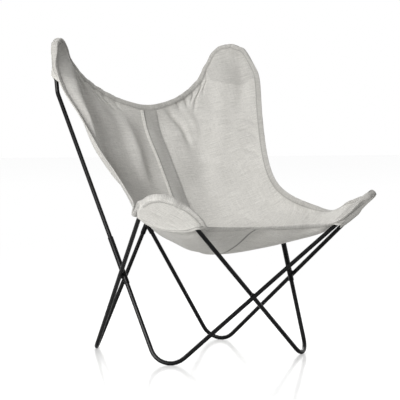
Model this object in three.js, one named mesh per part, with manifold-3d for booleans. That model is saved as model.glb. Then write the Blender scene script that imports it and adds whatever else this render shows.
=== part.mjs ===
// A butterfly sling chair, in millimetres, +Z up, with its front towards -Y.
// Two bent steel rods cross at the front, the back and both sides. Two hairpin arms plug into
// sleeves on them and carry the back peaks, and a fabric sling hangs from the four peaks by pockets.
import * as THREE from "three";
import { mergeVertices } from "three/addons/utils/BufferGeometryUtils.js";
import Module from "manifold-3d";

const wasm = await Module();
wasm.setup();

// The gap kept between pieces that touch
const GAP = 0.3;

// Rods. Peaks and feet are given at the sharp corners of the centre lines, before they are bent.
const ROD_DIAMETER = 12;
const ROD_RADIUS = ROD_DIAMETER / 2;
const FOOT_DEPTH = 221;
const FRONT_FOOT_HALF_WIDTH = 248.5;
const BACK_FOOT_HALF_WIDTH = 209.5;
const FOOT_BEND_RADIUS = 55;
const FOOT_FLAT_DEPTH = 0.4;
const FRONT_PEAK_HALF_WIDTH = 386;
const FRONT_PEAK_DEPTH = 415;
const FRONT_PEAK_HEIGHT = 514.5;
const FRONT_PEAK_BEND_RADIUS = 50;
const BACK_PEAK_HALF_WIDTH = 371;
const BACK_PEAK_DEPTH = 356.5;
const BACK_PEAK_HEIGHT = 1012;

// Back arms: kinked below the sharp peak, lower on the outer leg, and more upright above the kinks
const ARM_OUTER_KINK_RUN = 317;
const ARM_INNER_KINK_RUN = 302;
const ARM_KINK_ANGLE = THREE.MathUtils.degToRad(18.2);
const ARM_KINK_BEND_RADIUS = 35;
const ARM_RISE = 145;
const ARM_TOP_BEND_RADIUS = 63;

// Sleeves over the joints of arms and lower rods, and the welds at the crossings
const SOCKET_DIAMETER = 15;
const SOCKET_RADIUS = SOCKET_DIAMETER / 2;
const SOCKET_LENGTH = 140;
const SOCKET_BELOW_CROSSING = 24;
const JOINT_ABOVE_CROSSING = 60;
const JOINT_GAP = 0.6;
const WELD_RADIUS = 8;
const WELD_HALF_HEIGHT = 5;

// Sling: cloth, pockets, hems and the strip over the centre seam
const CLOTH_THICKNESS = 1.2;
const HEM_WIDTH = 14;
const HEM_WALL = 0.9;
const TIP_EASE = 1.7;
const MOUTH_EASE = 3;
const STRIP_WIDTH = 54;
const STRIP_THICKNESS = 1.6;
const BACK_EDGE_DEPTH = 270;
const BACK_EDGE_HEIGHT = 703;
const SEAT_LOW_DEPTH = -85;
const SEAT_LOW_HEIGHT = 284;
const FRONT_EDGE_DEPTH = -322;
const FRONT_EDGE_HEIGHT = 368;
const BACK_POCKET_LENGTH = 130;
const BACK_POCKET_SIDE_LENGTH = 138;
const FRONT_POCKET_LENGTH = 188;
const FRONT_POCKET_SIDE_LENGTH = 138;
const WRAP_REACH = 22;
const WRAP_FADE = 38;
const POCKET_FADE = 35;
const FOLD_DEPTH = 7;
const CLOTH_SLACK = 148;
const LEAST_LEG_SHARE = 0.1;

// Shares of the sling's length from the back edge to the front edge: where the slack of the seat
// and the folds begin or end, and how much of the slack the back has. The other fold shares are
// of the width from the centre seam to the side edge.
const BACK_SLACK_SHARE = 0.2;
const seatSlackShares = [0.3, 0.63];
const backFoldEndShares = [0.3, 0.55];
const frontFoldStartShares = [0.7, 0.87];
const BACK_FOLD_SHARE = 0.66;
const BACK_FOLD_DRIFT_SHARE = 0.25;
const FRONT_FOLD_SHARE = 0.62;
const FOLD_WIDTH_SHARE = 0.12;

// How far round each tip the hem follows the rod, from its crest towards the centre or the side
const BACK_TIP_INNER_ANGLE = THREE.MathUtils.degToRad(60);
const BACK_TIP_OUTER_ANGLE = THREE.MathUtils.degToRad(52);
const FRONT_TIP_INNER_ANGLE = THREE.MathUtils.degToRad(50);
const FRONT_TIP_OUTER_ANGLE = THREE.MathUtils.degToRad(45);

// Free stretches of the hem lines: how far along the straight span between their ends,
// then how far off it outwards, backwards and upwards, as shares of that span
const backEdgeShares = [
  [0.135, 0.04, -0.015, -0.053],
  [0.286, 0.066, -0.025, -0.089],
  [0.445, 0.077, -0.02, -0.107],
  [0.616, 0.072, -0.008, -0.11],
  [0.793, 0.045, 0.005, -0.085],
];
const sideEdgeShares = [
  [0.101, 0.011, 0.027, -0.037],
  [0.177, -0.009, 0.051, -0.072],
  [0.275, -0.046, 0.071, -0.103],
  [0.368, -0.077, 0.091, -0.133],
  [0.454, -0.103, 0.108, -0.159],
  [0.546, -0.129, 0.118, -0.176],
  [0.617, -0.139, 0.123, -0.183],
  [0.694, -0.136, 0.12, -0.179],
  [0.776, -0.116, 0.109, -0.162],
  [0.818, -0.089, 0.098, -0.156],
  [0.853, -0.064, 0.093, -0.147],
  [0.881, -0.05, 0.081, -0.136],
  [0.897, -0.036, 0.059, -0.105],
  [0.92, -0.022, 0.035, -0.071],
  [0.953, -0.004, 0.016, -0.033],
];
const frontEdgeShares = [
  [0.068, -0.002, -0.035, -0.024],
  [0.184, 0.002, -0.062, -0.067],
  [0.285, 0.013, -0.057, -0.104],
  [0.351, 0.023, -0.035, -0.121],
  [0.411, 0.033, 0.009, -0.118],
  [0.488, 0.038, 0.041, -0.107],
  [0.66, 0.026, 0.029, -0.074],
  [0.851, 0.014, 0.022, -0.033],
];
// The centre seam: share of the depth from the back edge to the low point of the seat and of
// the height above that point, then the same from the low point to the front edge
const backSeamShares = [
  [0, 1],
  [0.076, 0.831],
  [0.172, 0.687],
  [0.276, 0.563],
  [0.38, 0.446],
  [0.513, 0.305],
  [0.665, 0.157],
  [0.831, 0.045],
];
const frontSeamShares = [
  [0, 0],
  [0.24, 0.05],
  [0.532, 0.357],
  [0.857, 0.857],
  [1, 1],
];

// The cloth's grid: columns run from the centre seam to the side hem, rows from back to front
const COLUMNS = 15;
const ROWS = 27;
const BACK_POCKET_STEPS = 6;
const FRONT_POCKET_STEPS = 7;
const SMOOTHING_PASSES = 900;
const POCKET_GRADING = 1.2;
const ROD_SIDES = 12;
const TUBE_SIDES = 20;
const BEND_STEP = THREE.MathUtils.degToRad(13);
const HEM_STEPS_ROUND_TIP = 4;
const HEM_POINTS = 7;
const LENGTH_DIVISIONS = 40;
const SOLVER_STEPS = 8;

const steel = new THREE.MeshStandardMaterial({ color: 0x1b1b1c, roughness: 0.42, metalness: 0.55 });
const fabric = new THREE.MeshStandardMaterial({ color: 0xb9b7b2, roughness: 0.95, metalness: 0 });
const hemFabric = new THREE.MeshStandardMaterial({ color: 0xb1afaa, roughness: 0.95, metalness: 0 });
const seamFabric = new THREE.MeshStandardMaterial({ color: 0xa9a7a2, roughness: 0.95, metalness: 0 });

const vec = (x, y, z) => new THREE.Vector3(x, y, z);
const between = (from, to, share) => from.clone().lerp(to, share);
const direction = (from, to) => to.clone().sub(from).normalize();
const moved = (point, along, distance) => point.clone().addScaledVector(along, distance);
const without = (vector, axis) => vector.clone().addScaledVector(axis, -vector.dot(axis));
const easing = (value) => THREE.MathUtils.smoothstep(value, 0, 1);

// Solids: three.js geometry to a closed body and back, and a mesh from one
function solidOf(geometry, matrix = new THREE.Matrix4()) {
  const bare = new THREE.BufferGeometry();
  bare.setAttribute("position", geometry.getAttribute("position").clone());
  bare.setIndex(geometry.index);
  const merged = mergeVertices(bare.applyMatrix4(matrix));
  return new wasm.Manifold(
    new wasm.Mesh({
      numProp: 3,
      vertProperties: new Float32Array(merged.attributes.position.array),
      triVerts: new Uint32Array(merged.index.array),
    }),
  );
}

function geometryOf(solid) {
  const mesh = solid.getMesh();
  const geometry = new THREE.BufferGeometry();
  geometry.setAttribute("position", new THREE.BufferAttribute(mesh.vertProperties, mesh.numProp));
  geometry.setIndex(new THREE.BufferAttribute(mesh.triVerts, 1));
  geometry.computeVertexNormals();
  return geometry;
}

function piece(name, geometry, material) {
  const mesh = new THREE.Mesh(geometry, material);
  mesh.name = name;
  return mesh;
}

// A closed body from corner points and triangles, turned so that its faces point outwards
function closedGeometry(corners, triangles) {
  let volume = 0;
  for (const [a, b, c] of triangles) {
    volume += corners[a].dot(corners[b].clone().cross(corners[c]));
  }
  const outward = volume < 0 ? triangles.map(([a, b, c]) => [a, c, b]) : triangles;
  const geometry = new THREE.BufferGeometry().setFromPoints(corners);
  geometry.setIndex(outward.flat());
  geometry.computeVertexNormals();
  return geometry;
}

// A rounded corner of a rod's centre line, seen in its own plane
function bend(before, corner, after, radius) {
  const first = direction(corner, before);
  const second = direction(corner, after);
  const inward = first.clone().add(second).normalize();
  const opening = first.angleTo(second);
  const centre = moved(corner, inward, radius / Math.sin(opening / 2));
  const up = inward.clone().negate();
  const across = without(second, inward).normalize();
  const normal = across.clone().cross(up).normalize();
  const half = (Math.PI - opening) / 2;
  const at = (angle, offset = 0) => {
    const reach = radius + offset;
    return moved(moved(centre, up, reach * Math.cos(angle)), across, reach * Math.sin(angle));
  };
  const lowest = centre.z - radius * Math.hypot(up.z, across.z);
  const steps = Math.ceil((2 * half) / BEND_STEP);
  const stations = Array.from({ length: steps + 1 }, (_, i) => at(((2 * i) / steps - 1) * half));
  return { centre, up, across, normal, radius, first, second, at, lowest, stations };
}

function roundedRun(corners, radii) {
  const bends = radii.flatMap((radius, i) => bend(...corners.slice(i, i + 3), radius).stations);
  return [corners[0], ...bends, corners[corners.length - 1]];
}

// A path with a ring at each station, wherever the stations lie
class StationPath extends THREE.Curve {
  constructor(stations) {
    super();
    this.stations = stations;
  }
  getPoint(t, target = new THREE.Vector3()) {
    const place = t * (this.stations.length - 1);
    const index = Math.min(Math.floor(place), this.stations.length - 2);
    return target.lerpVectors(this.stations[index], this.stations[index + 1], place - index);
  }
  getUtoTmapping(u) {
    return u;
  }
}

function polygon(radius, sides, Kind) {
  const corners = Array.from({ length: sides }, (_, i) => {
    const angle = (2 * Math.PI * i) / sides;
    return new THREE.Vector2(radius * Math.cos(angle), radius * Math.sin(angle));
  });
  return new Kind(corners);
}

function rodGeometry(stations, radius = ROD_RADIUS) {
  return new THREE.ExtrudeGeometry(polygon(radius, ROD_SIDES, THREE.Shape), {
    steps: stations.length - 1,
    extrudePath: new StationPath(stations),
  });
}

// The nearest points of two straight runs, as the crossing of their centre lines
function crossing(runA, runB) {
  const alongA = direction(...runA);
  const alongB = direction(...runB);
  const normal = alongA.clone().cross(alongB).normalize();
  const apart = runB[0].clone().sub(runA[0]);
  const offset = normal.multiplyScalar(apart.dot(normal));
  const sideways = alongB.clone().cross(offset);
  const onA = moved(runA[0], alongA, apart.dot(sideways) / alongA.dot(sideways));
  return { onA, onB: onA.clone().add(offset), alongA, alongB, offset };
}

// The spacings that the crossings need, between centre lines
const frontSpacing = ROD_DIAMETER + GAP;
const rearSpacing = SOCKET_DIAMETER + GAP;
const sideSpacing = ROD_RADIUS + SOCKET_RADIUS + GAP;

// The sharp corners of both loops. The loop of the right back peak lies a little further back.
// Each foot's corner goes as low as its bend needs, to bring the rod down to the floor. A relief
// draws one front foot in and pushes the back foot of the same side out.
function frameCorners(reliefs) {
  let frontFootZ = 0;
  let backFootZ = 0;
  let loops = [];
  for (let step = 0; step < SOLVER_STEPS; step++) {
    const frontRise = FRONT_PEAK_HEIGHT - frontFootZ;
    const frontLean = FRONT_PEAK_DEPTH - FOOT_DEPTH;
    const frontShift = ((frontSpacing / 2) * Math.hypot(frontRise, frontLean)) / frontRise;
    const backRise = BACK_PEAK_HEIGHT - backFootZ;
    const backLean = BACK_PEAK_DEPTH - FOOT_DEPTH;
    const backShift = ((rearSpacing / 2) * Math.hypot(backRise, backLean)) / backRise;
    loops = [-1, 1].map((side, index) => {
      const frontFootX = FRONT_FOOT_HALF_WIDTH - reliefs[index];
      const backFootX = BACK_FOOT_HALF_WIDTH + reliefs[1 - index];
      const backPeakY = BACK_PEAK_DEPTH + side * backShift;
      const frontPeakY = -FRONT_PEAK_DEPTH + side * frontShift;
      return {
        backPeak: vec(side * BACK_PEAK_HALF_WIDTH, backPeakY, BACK_PEAK_HEIGHT),
        frontFoot: vec(side * frontFootX, -FOOT_DEPTH + side * frontShift, frontFootZ),
        frontPeak: vec(-side * FRONT_PEAK_HALF_WIDTH, frontPeakY, FRONT_PEAK_HEIGHT),
        backFoot: vec(-side * backFootX, FOOT_DEPTH + side * backShift, backFootZ),
      };
    });
    const { backPeak, frontFoot, frontPeak, backFoot } = loops[0];
    const rest = ROD_RADIUS - FOOT_FLAT_DEPTH;
    frontFootZ += rest - bend(backPeak, frontFoot, frontPeak, FOOT_BEND_RADIUS).lowest;
    backFootZ += rest - bend(frontPeak, backFoot, backPeak, FOOT_BEND_RADIUS).lowest;
  }
  return loops;
}

// A side crossing: the run that rises to a back peak, then outside it the run to a front peak
function sideCrossing(loops, index) {
  const own = loops[index];
  const other = loops[1 - index];
  return crossing([own.frontFoot, own.backPeak], [other.backFoot, other.frontPeak]);
}

function sideSpacingAt(reliefs, index) {
  const { offset } = sideCrossing(frameCorners(reliefs), index);
  return offset.length() * Math.sign(offset.x) * (index === 0 ? -1 : 1);
}

// The reliefs that bring the outer run of each side crossing to touch the sleeve on the inner one
function solvedLoops() {
  const reliefs = [0, 0];
  for (let step = 0; step < SOLVER_STEPS; step++) {
    for (const index of [0, 1]) {
      const spacing = sideSpacingAt(reliefs, index);
      const tried = reliefs.map((relief, i) => (i === index ? relief + GAP : relief));
      const slope = (sideSpacingAt(tried, index) - spacing) / GAP;
      reliefs[index] += (sideSpacing - spacing) / slope;
    }
  }
  return frameCorners(reliefs);
}

const loops = solvedLoops();
const sideCrossings = [0, 1].map((index) => sideCrossing(loops, index));
const rearCrossing = crossing(
  [loops[0].backFoot, loops[0].backPeak],
  [loops[1].backFoot, loops[1].backPeak],
);
const frontCrossing = crossing(
  [loops[0].frontFoot, loops[0].frontPeak],
  [loops[1].frontFoot, loops[1].frontPeak],
);
const rearPoints = [rearCrossing.onA, rearCrossing.onB];

// The arm of a loop: its run from the side sleeve over the peak to the rear sleeve, and its tip
function backArm(index) {
  const { backPeak, frontFoot, backFoot } = loops[index];
  const outerKink = moved(backPeak, direction(backPeak, frontFoot), ARM_OUTER_KINK_RUN);
  const innerKink = moved(backPeak, direction(backPeak, backFoot), ARM_INNER_KINK_RUN);
  const middle = between(outerKink, innerKink, 0.5);
  const across = direction(outerKink, innerKink);
  const rise = without(direction(middle, backPeak), across).normalize();
  const lift = across.clone().cross(rise);
  if (lift.z < 0) lift.negate();
  const up = moved(rise.multiplyScalar(Math.cos(ARM_KINK_ANGLE)), lift, Math.sin(ARM_KINK_ANGLE));
  const halfWidth = outerKink.distanceTo(innerKink) / 2;
  const centreRise = ARM_RISE - ARM_TOP_BEND_RADIUS;
  const lean =
    Math.atan2(centreRise, halfWidth) + Math.asin(ARM_TOP_BEND_RADIUS / Math.hypot(halfWidth, centreRise));
  const top = moved(middle, up, halfWidth * Math.tan(lean));
  const above = JOINT_ABOVE_CROSSING + JOINT_GAP / 2;
  const start = moved(sideCrossings[index].onA, sideCrossings[index].alongA, above);
  const end = moved(rearPoints[index], direction(backFoot, backPeak), above);
  const run = roundedRun(
    [start, outerKink, top, innerKink, end],
    [ARM_KINK_BEND_RADIUS, ARM_TOP_BEND_RADIUS, ARM_KINK_BEND_RADIUS],
  );
  return { run, tip: bend(outerKink, top, innerKink, ARM_TOP_BEND_RADIUS) };
}

// The lower rod of a loop: from the side sleeve round both feet and the front peak to the rear one
function lowerRun(index) {
  const { backPeak, frontFoot, frontPeak, backFoot } = loops[index];
  const above = JOINT_ABOVE_CROSSING - JOINT_GAP / 2;
  const start = moved(sideCrossings[index].onA, sideCrossings[index].alongA, above);
  const end = moved(rearPoints[index], direction(backFoot, backPeak), above);
  return roundedRun(
    [start, frontFoot, frontPeak, backFoot, end],
    [FOOT_BEND_RADIUS, FRONT_PEAK_BEND_RADIUS, FOOT_BEND_RADIUS],
  );
}

// The feet are cut level with the floor
function cutAtFloor(geometry) {
  const size = 2 * (FRONT_PEAK_DEPTH + BACK_PEAK_DEPTH);
  const below = new THREE.BoxGeometry(size, size, size).translate(0, 0, -size / 2);
  return geometryOf(solidOf(geometry).subtract(solidOf(below)));
}

function lieAlong(object, point, along) {
  object.position.copy(point);
  object.quaternion.setFromUnitVectors(vec(0, 0, 1), along);
  object.updateMatrix();
  return object;
}

function socket(name, point, along) {
  const outline = polygon(SOCKET_RADIUS, TUBE_SIDES, THREE.Shape);
  const bore = (ROD_RADIUS + GAP) / Math.cos(Math.PI / TUBE_SIDES);
  outline.holes.push(polygon(bore, TUBE_SIDES, THREE.Path));
  const geometry = new THREE.ExtrudeGeometry(outline, { depth: SOCKET_LENGTH, bevelEnabled: false });
  return lieAlong(piece(name, geometry, steel), moved(point, along, -SOCKET_BELOW_CROSSING), along);
}

// A bead round the touching point of two runs, cut clear of both
function weld(name, { onA, onB, alongA, alongB }, radiusA, radiusB) {
  const normal = direction(onA, onB);
  const touch = moved(onA, normal, radiusA + GAP / 2);
  const bead = new THREE.SphereGeometry(1, TUBE_SIDES, ROD_SIDES);
  bead.scale(WELD_RADIUS, WELD_RADIUS, WELD_HALF_HEIGHT);
  let solid = solidOf(bead, lieAlong(new THREE.Object3D(), touch, normal).matrix);
  for (const [point, along, radius] of [
    [onA, alongA, radiusA],
    [onB, alongB, radiusB],
  ]) {
    const ends = [moved(point, along, -SOCKET_LENGTH), moved(point, along, SOCKET_LENGTH)];
    const room = (radius + GAP) / Math.cos(Math.PI / ROD_SIDES);
    solid = solid.subtract(solidOf(rodGeometry(ends, room)));
  }
  return piece(name, geometryOf(solid), steel);
}

// A tip of the sling: the bend of rod inside it, seen as a wedge with a round end
function tipOf(arc, innerAngle, outerAngle) {
  const outward = [arc.first, arc.second].map((leg, i) => {
    const across = i === 0 ? arc.across.clone().negate() : arc.across.clone();
    return without(across, leg).normalize();
  });
  const normal = arc.normal.clone();
  if (normal.dot(vec(0, 0, 1)) > 0) normal.negate();
  // Depth behind the plane of the bend, the way out of it, and how far out past the rod's centre line
  const seen = (point) => {
    const from = point.clone().sub(arc.centre);
    const depth = from.dot(normal);
    const flat = from.addScaledVector(normal, -depth);
    const beyond = flat.dot(arc.first) < 0 && flat.dot(arc.second) < 0;
    const nearer = flat.dot(outward[0]) > flat.dot(outward[1]) ? outward[0] : outward[1];
    const away = beyond ? flat.clone().normalize() : nearer;
    return { depth, away, outside: flat.dot(away) - arc.radius };
  };
  return { arc, normal, seen, innerAngle, outerAngle };
}

// Clearances round the rods in the pockets
const rodToHem = ROD_RADIUS + TIP_EASE;
const layerClearance = ROD_RADIUS + 2 * GAP + CLOTH_THICKNESS;
const insetShare = ROD_RADIUS / 2 / layerClearance;
const hemClearance = layerClearance + HEM_WALL + GAP;
const layerSpread = (CLOTH_THICKNESS + GAP) / 2;
const hemOffset = CLOTH_THICKNESS / 2 + GAP;

// The free points of a hem line, between its two ends
function edgeCurve(start, end, shares, side) {
  const span = start.distanceTo(end);
  return shares.map(([along, outwards, backwards, upwards]) =>
    between(start, end, along).add(vec(side * outwards, backwards, upwards).multiplyScalar(span)),
  );
}

// The points of a hem line round a tip, outside the rod's bend
function tipArc(tip, fromAngle, toAngle) {
  return Array.from({ length: HEM_STEPS_ROUND_TIP + 1 }, (_, i) =>
    tip.arc.at(THREE.MathUtils.lerp(fromAngle, toAngle, i / HEM_STEPS_ROUND_TIP), rodToHem),
  );
}

// Points on a line at given distances from its start
function pointsAt(line, distances) {
  const curve = new THREE.CatmullRomCurve3(line, false, "centripetal");
  curve.arcLengthDivisions = LENGTH_DIVISIONS * line.length;
  const length = curve.getLength();
  return distances(length).map((distance) => curve.getPointAt(Math.min(distance / length, 1)));
}

const gradedSteps = (count, length) =>
  Array.from({ length: count + 1 }, (_, i) => length * (i / count) ** POCKET_GRADING);
const evenSteps = (count, from, to) =>
  Array.from({ length: count + 1 }, (_, i) => THREE.MathUtils.lerp(from, to, i / count));

// The row or column places along each hem line, closer together round the tips
function crossEdgePlaces(length, pocketSteps, pocketLength) {
  const pocket = gradedSteps(pocketSteps, pocketLength).map((distance) => length - distance);
  const free = evenSteps(COLUMNS - pocketSteps - 1, STRIP_WIDTH / 2, length - pocketLength);
  return [0, ...free, ...pocket.reverse().slice(1)];
}

function sideEdgePlaces(length) {
  const back = gradedSteps(BACK_POCKET_STEPS, BACK_POCKET_SIDE_LENGTH);
  const pocket = gradedSteps(FRONT_POCKET_STEPS, FRONT_POCKET_SIDE_LENGTH);
  const front = pocket.map((distance) => length - distance);
  const steps = ROWS - BACK_POCKET_STEPS - FRONT_POCKET_STEPS;
  const free = evenSteps(steps, BACK_POCKET_SIDE_LENGTH, length - FRONT_POCKET_SIDE_LENGTH);
  return [...back, ...free.slice(1, -1), ...front.reverse()];
}

function seamPlaces(length) {
  return [0, ...evenSteps(ROWS - 2, HEM_WIDTH, length - HEM_WIDTH), length];
}

const backEdgeCentre = vec(0, BACK_EDGE_DEPTH, BACK_EDGE_HEIGHT);
const frontEdgeCentre = vec(0, FRONT_EDGE_DEPTH, FRONT_EDGE_HEIGHT);
const seatLow = vec(0, SEAT_LOW_DEPTH, SEAT_LOW_HEIGHT);

function seamLine() {
  const part = (from, to, high, shares) =>
    shares.map(([depth, height]) =>
      vec(
        0,
        THREE.MathUtils.lerp(from.y, to.y, depth),
        THREE.MathUtils.lerp(SEAT_LOW_HEIGHT, high, height),
      ),
    );
  return [
    ...part(backEdgeCentre, seatLow, BACK_EDGE_HEIGHT, backSeamShares),
    ...part(seatLow, frontEdgeCentre, FRONT_EDGE_HEIGHT, frontSeamShares),
  ];
}

const inRange = (value, most) => THREE.MathUtils.clamp(value, 1, most - 1);

// The middle surface of one half of the sling, as a grid of points
function halfSurface(side, backTip, frontTip) {
  const backEnd = backTip.arc.at(backTip.innerAngle, rodToHem);
  const sideStart = backTip.arc.at(-backTip.outerAngle, rodToHem);
  const sideEnd = frontTip.arc.at(-frontTip.outerAngle, rodToHem);
  const frontStart = frontTip.arc.at(frontTip.innerAngle, rodToHem);
  const backLine = [
    backEdgeCentre,
    ...edgeCurve(backEdgeCentre, backEnd, backEdgeShares, side),
    ...tipArc(backTip, backTip.innerAngle, 0),
  ];
  const sideLine = [
    ...tipArc(backTip, 0, -backTip.outerAngle),
    ...edgeCurve(sideStart, sideEnd, sideEdgeShares, side),
    ...tipArc(frontTip, -frontTip.outerAngle, 0),
  ];
  const frontLine = [
    frontEdgeCentre,
    ...edgeCurve(frontStart, frontEdgeCentre, frontEdgeShares, side).reverse(),
    ...tipArc(frontTip, frontTip.innerAngle, 0),
  ];
  const seam = pointsAt(seamLine(), seamPlaces);
  const back = pointsAt(backLine, (length) =>
    crossEdgePlaces(length, BACK_POCKET_STEPS, BACK_POCKET_LENGTH),
  );
  const outer = pointsAt(sideLine, sideEdgePlaces);
  const front = pointsAt(frontLine, (length) =>
    crossEdgePlaces(length, FRONT_POCKET_STEPS, FRONT_POCKET_LENGTH),
  );
  // Inside the pockets the edges keep clear of the rod, most where it comes out at the mouth
  const pocketed = (line, tip, steps) =>
    line.map((point, i) => {
      const step = i - (line.length - 1 - steps);
      if (step < 0) return point;
      const { away, outside } = tip.seen(point);
      const clearance = step === 0 ? rodToHem + MOUTH_EASE : rodToHem;
      return moved(point, away, Math.max(0, clearance - outside));
    });
  const backRow = pocketed(back, backTip, BACK_POCKET_STEPS);
  const frontRow = pocketed(front, frontTip, FRONT_POCKET_STEPS);
  const grid = seam.map((start, r) => seam.map(() => start.clone()).slice(0, COLUMNS + 1));
  for (let r = 0; r <= ROWS; r++) {
    for (let c = 0; c <= COLUMNS; c++) {
      if (r === 0) grid[r][c] = backRow[c].clone();
      else if (r === ROWS) grid[r][c] = frontRow[c].clone();
      else if (c === COLUMNS) grid[r][c] = outer[r].clone();
      else if (c <= 1) grid[r][c] = moved(seam[r], vec(side, 0, 0), (c * STRIP_WIDTH) / 2);
      else grid[r][c] = between(seam[r], outer[r], c / COLUMNS);
    }
  }
  const sag = seam.map((_, r) => {
    const along = direction(seam[Math.max(r - 1, 0)], seam[Math.min(r + 1, ROWS)]);
    const inSeat = THREE.MathUtils.smoothstep(r / ROWS, ...seatSlackShares);
    const slack = CLOTH_SLACK * THREE.MathUtils.lerp(BACK_SLACK_SHARE, 1, inSeat);
    return vec(1, 0, 0).cross(along).multiplyScalar((2 * slack) / COLUMNS ** 2);
  });
  for (let pass = 0; pass < SMOOTHING_PASSES; pass++) {
    smoothInside(grid, sag);
    placeBands(grid);
  }
  return grid;
}

// Each inner point goes to the middle of its neighbours, and hangs a little beyond it
function smoothInside(grid, sag) {
  for (let r = 1; r < ROWS; r++) {
    for (let c = 2; c < COLUMNS; c++) {
      grid[r][c] = vec(0, 0, 0)
        .add(grid[r - 1][c])
        .add(grid[r + 1][c])
        .add(grid[r][c - 1])
        .add(grid[r][c + 1])
        .divideScalar(4)
        .add(sag[r]);
    }
  }
}

// The rows and the column that the hems' inner edges follow lie one band in from the hem lines
function placeBands(grid) {
  const place = (r, c, edge, along, inside) => {
    const inward = without(inside.clone().sub(edge), along).normalize();
    grid[r][c] = moved(edge, inward, HEM_WIDTH);
  };
  for (let c = 2; c < COLUMNS; c++) {
    for (const [r, edgeRow, insideRow] of [
      [1, 0, 2],
      [ROWS - 1, ROWS, ROWS - 2],
    ]) {
      const along = direction(grid[edgeRow][c - 1], grid[edgeRow][c + 1]);
      place(r, c, grid[edgeRow][c], along, grid[insideRow][c]);
    }
  }
  for (let r = 2; r < ROWS - 1; r++) {
    const along = direction(grid[r - 1][COLUMNS], grid[r + 1][COLUMNS]);
    place(r, COLUMNS - 1, grid[r][COLUMNS], along, grid[r][COLUMNS - 2]);
  }
  for (const [edgeRow, r] of [
    [0, 1],
    [ROWS, ROWS - 1],
  ]) {
    const along = direction(grid[edgeRow][COLUMNS - 1], grid[r][COLUMNS]);
    const inside = grid[edgeRow === 0 ? 3 : ROWS - 3][COLUMNS - 3];
    place(r, COLUMNS - 1, grid[edgeRow][COLUMNS], along, inside);
  }
}

// Triangles of the grid, split towards the mouths of the pockets, and across the crests
function gridFaces(keep = () => true) {
  const name = (r, c) => r * (COLUMNS + 1) + c;
  const faces = [];
  for (let r = 0; r < ROWS; r++) {
    for (let c = 0; c < COLUMNS; c++) {
      const corner = c === COLUMNS - 1 && (r === 0 || r === ROWS - 1);
      const falling = r < ROWS / 2 !== corner;
      const quad = [
        [r, c],
        [r, c + 1],
        [r + 1, c + 1],
        [r + 1, c],
      ];
      const split = falling
        ? [
            [0, 1, 2],
            [0, 2, 3],
          ]
        : [
            [0, 1, 3],
            [1, 2, 3],
          ];
      for (const face of split) {
        const corners = face.map((i) => quad[i]);
        if (corners.every(([row, column]) => keep(row, column))) {
          faces.push(corners.map(([row, column]) => name(row, column)));
        }
      }
    }
  }
  return faces;
}

// Steps from the mouths of the back and front pockets towards their tips
const mouthSteps = (r, c) => [
  c - r - COLUMNS + BACK_POCKET_STEPS,
  c - (ROWS - r) - COLUMNS + FRONT_POCKET_STEPS,
];
const inBackPocket = (r, c) => mouthSteps(r, c)[0] >= 0;
const inFrontPocket = (r, c) => mouthSteps(r, c)[1] >= 0;
const clothFaces = gridFaces();
const backPocketFaces = gridFaces(inBackPocket);
const frontPocketFaces = gridFaces(inFrontPocket);

// Normals towards the sitter at each point of a grid
function gridNormals(points, side) {
  const normals = points.map(() => vec(0, 0, 0));
  for (const [a, b, c] of clothFaces) {
    const ab = points[b].clone().sub(points[a]);
    const ac = points[c].clone().sub(points[a]);
    const face = ac.cross(ab).multiplyScalar(side);
    for (const corner of [a, b, c]) normals[corner].add(face);
  }
  return normals.map((normal) => normal.normalize());
}

// A broad soft fold runs down each half of the back, and one from each front tip to the seat
function folded(points, normals) {
  const { smoothstep } = THREE.MathUtils;
  const furrow = (offCentre) => Math.exp(-((offCentre / FOLD_WIDTH_SHARE) ** 2));
  return points.map((point, i) => {
    const r = Math.floor(i / (COLUMNS + 1));
    const c = i % (COLUMNS + 1);
    const acrossRoom = easing((c - 1) / 2) * easing((COLUMNS - 1 - c) / 2);
    const downRoom = easing((r - 1) / 2) * easing((ROWS - 1 - r) / 2);
    const row = r / ROWS;
    const column = c / COLUMNS;
    const backFold = furrow(column - BACK_FOLD_SHARE + BACK_FOLD_DRIFT_SHARE * row);
    const frontFold = furrow(column - FRONT_FOLD_SHARE);
    const depth = backFold * (1 - smoothstep(row, ...backFoldEndShares));
    const frontDepth = frontFold * smoothstep(row, ...frontFoldStartShares);
    return moved(point, normals[i], -acrossRoom * downRoom * FOLD_DEPTH * (depth + frontDepth));
  });
}

const isEdge = (r, c) => r === 0 || r === ROWS || c === COLUMNS;

// The outward direction at a point of the hem lines, away from the band inside it
function outwardAt(points, r, c) {
  const band = inRange(r, ROWS) * (COLUMNS + 1) + Math.min(c, COLUMNS - 1);
  return direction(points[band], points[r * (COLUMNS + 1) + c]);
}

// One layer of cloth: the seat's own layer passes in front of the rods, a pocket's behind them
function layer(points, tip, inPocket, isFront) {
  return points.map((point, i) => {
    const r = Math.floor(i / (COLUMNS + 1));
    const c = i % (COLUMNS + 1);
    const { depth, outside } = tip.seen(point);
    if (isEdge(r, c)) {
      const hug = 1 - easing((outside - rodToHem) / WRAP_REACH);
      if (!inPocket(r, c)) {
        return moved(point, tip.normal, Math.min(depth, -hemClearance * hug) - depth);
      }
      const inside = moved(point, outwardAt(points, r, c), (-hug * ROD_RADIUS) / 2);
      const level = isFront
        ? Math.min(depth - layerSpread, -layerClearance * hug)
        : Math.max(depth + layerSpread, layerClearance * hug);
      return moved(inside, tip.normal, level - depth);
    }
    if (isFront) {
      const wrap = 1 - easing((outside - WRAP_REACH) / WRAP_FADE);
      const shift = inPocket(r, c) ? layerSpread : 0;
      return moved(point, tip.normal, Math.min(depth - shift, -hemClearance * wrap) - depth);
    }
    const wrap = 1 - easing((outside - ROD_DIAMETER) / POCKET_FADE);
    const level = Math.max(THREE.MathUtils.lerp(depth, layerClearance, wrap), depth + layerSpread);
    return moved(point, tip.normal, level - depth);
  });
}

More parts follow.
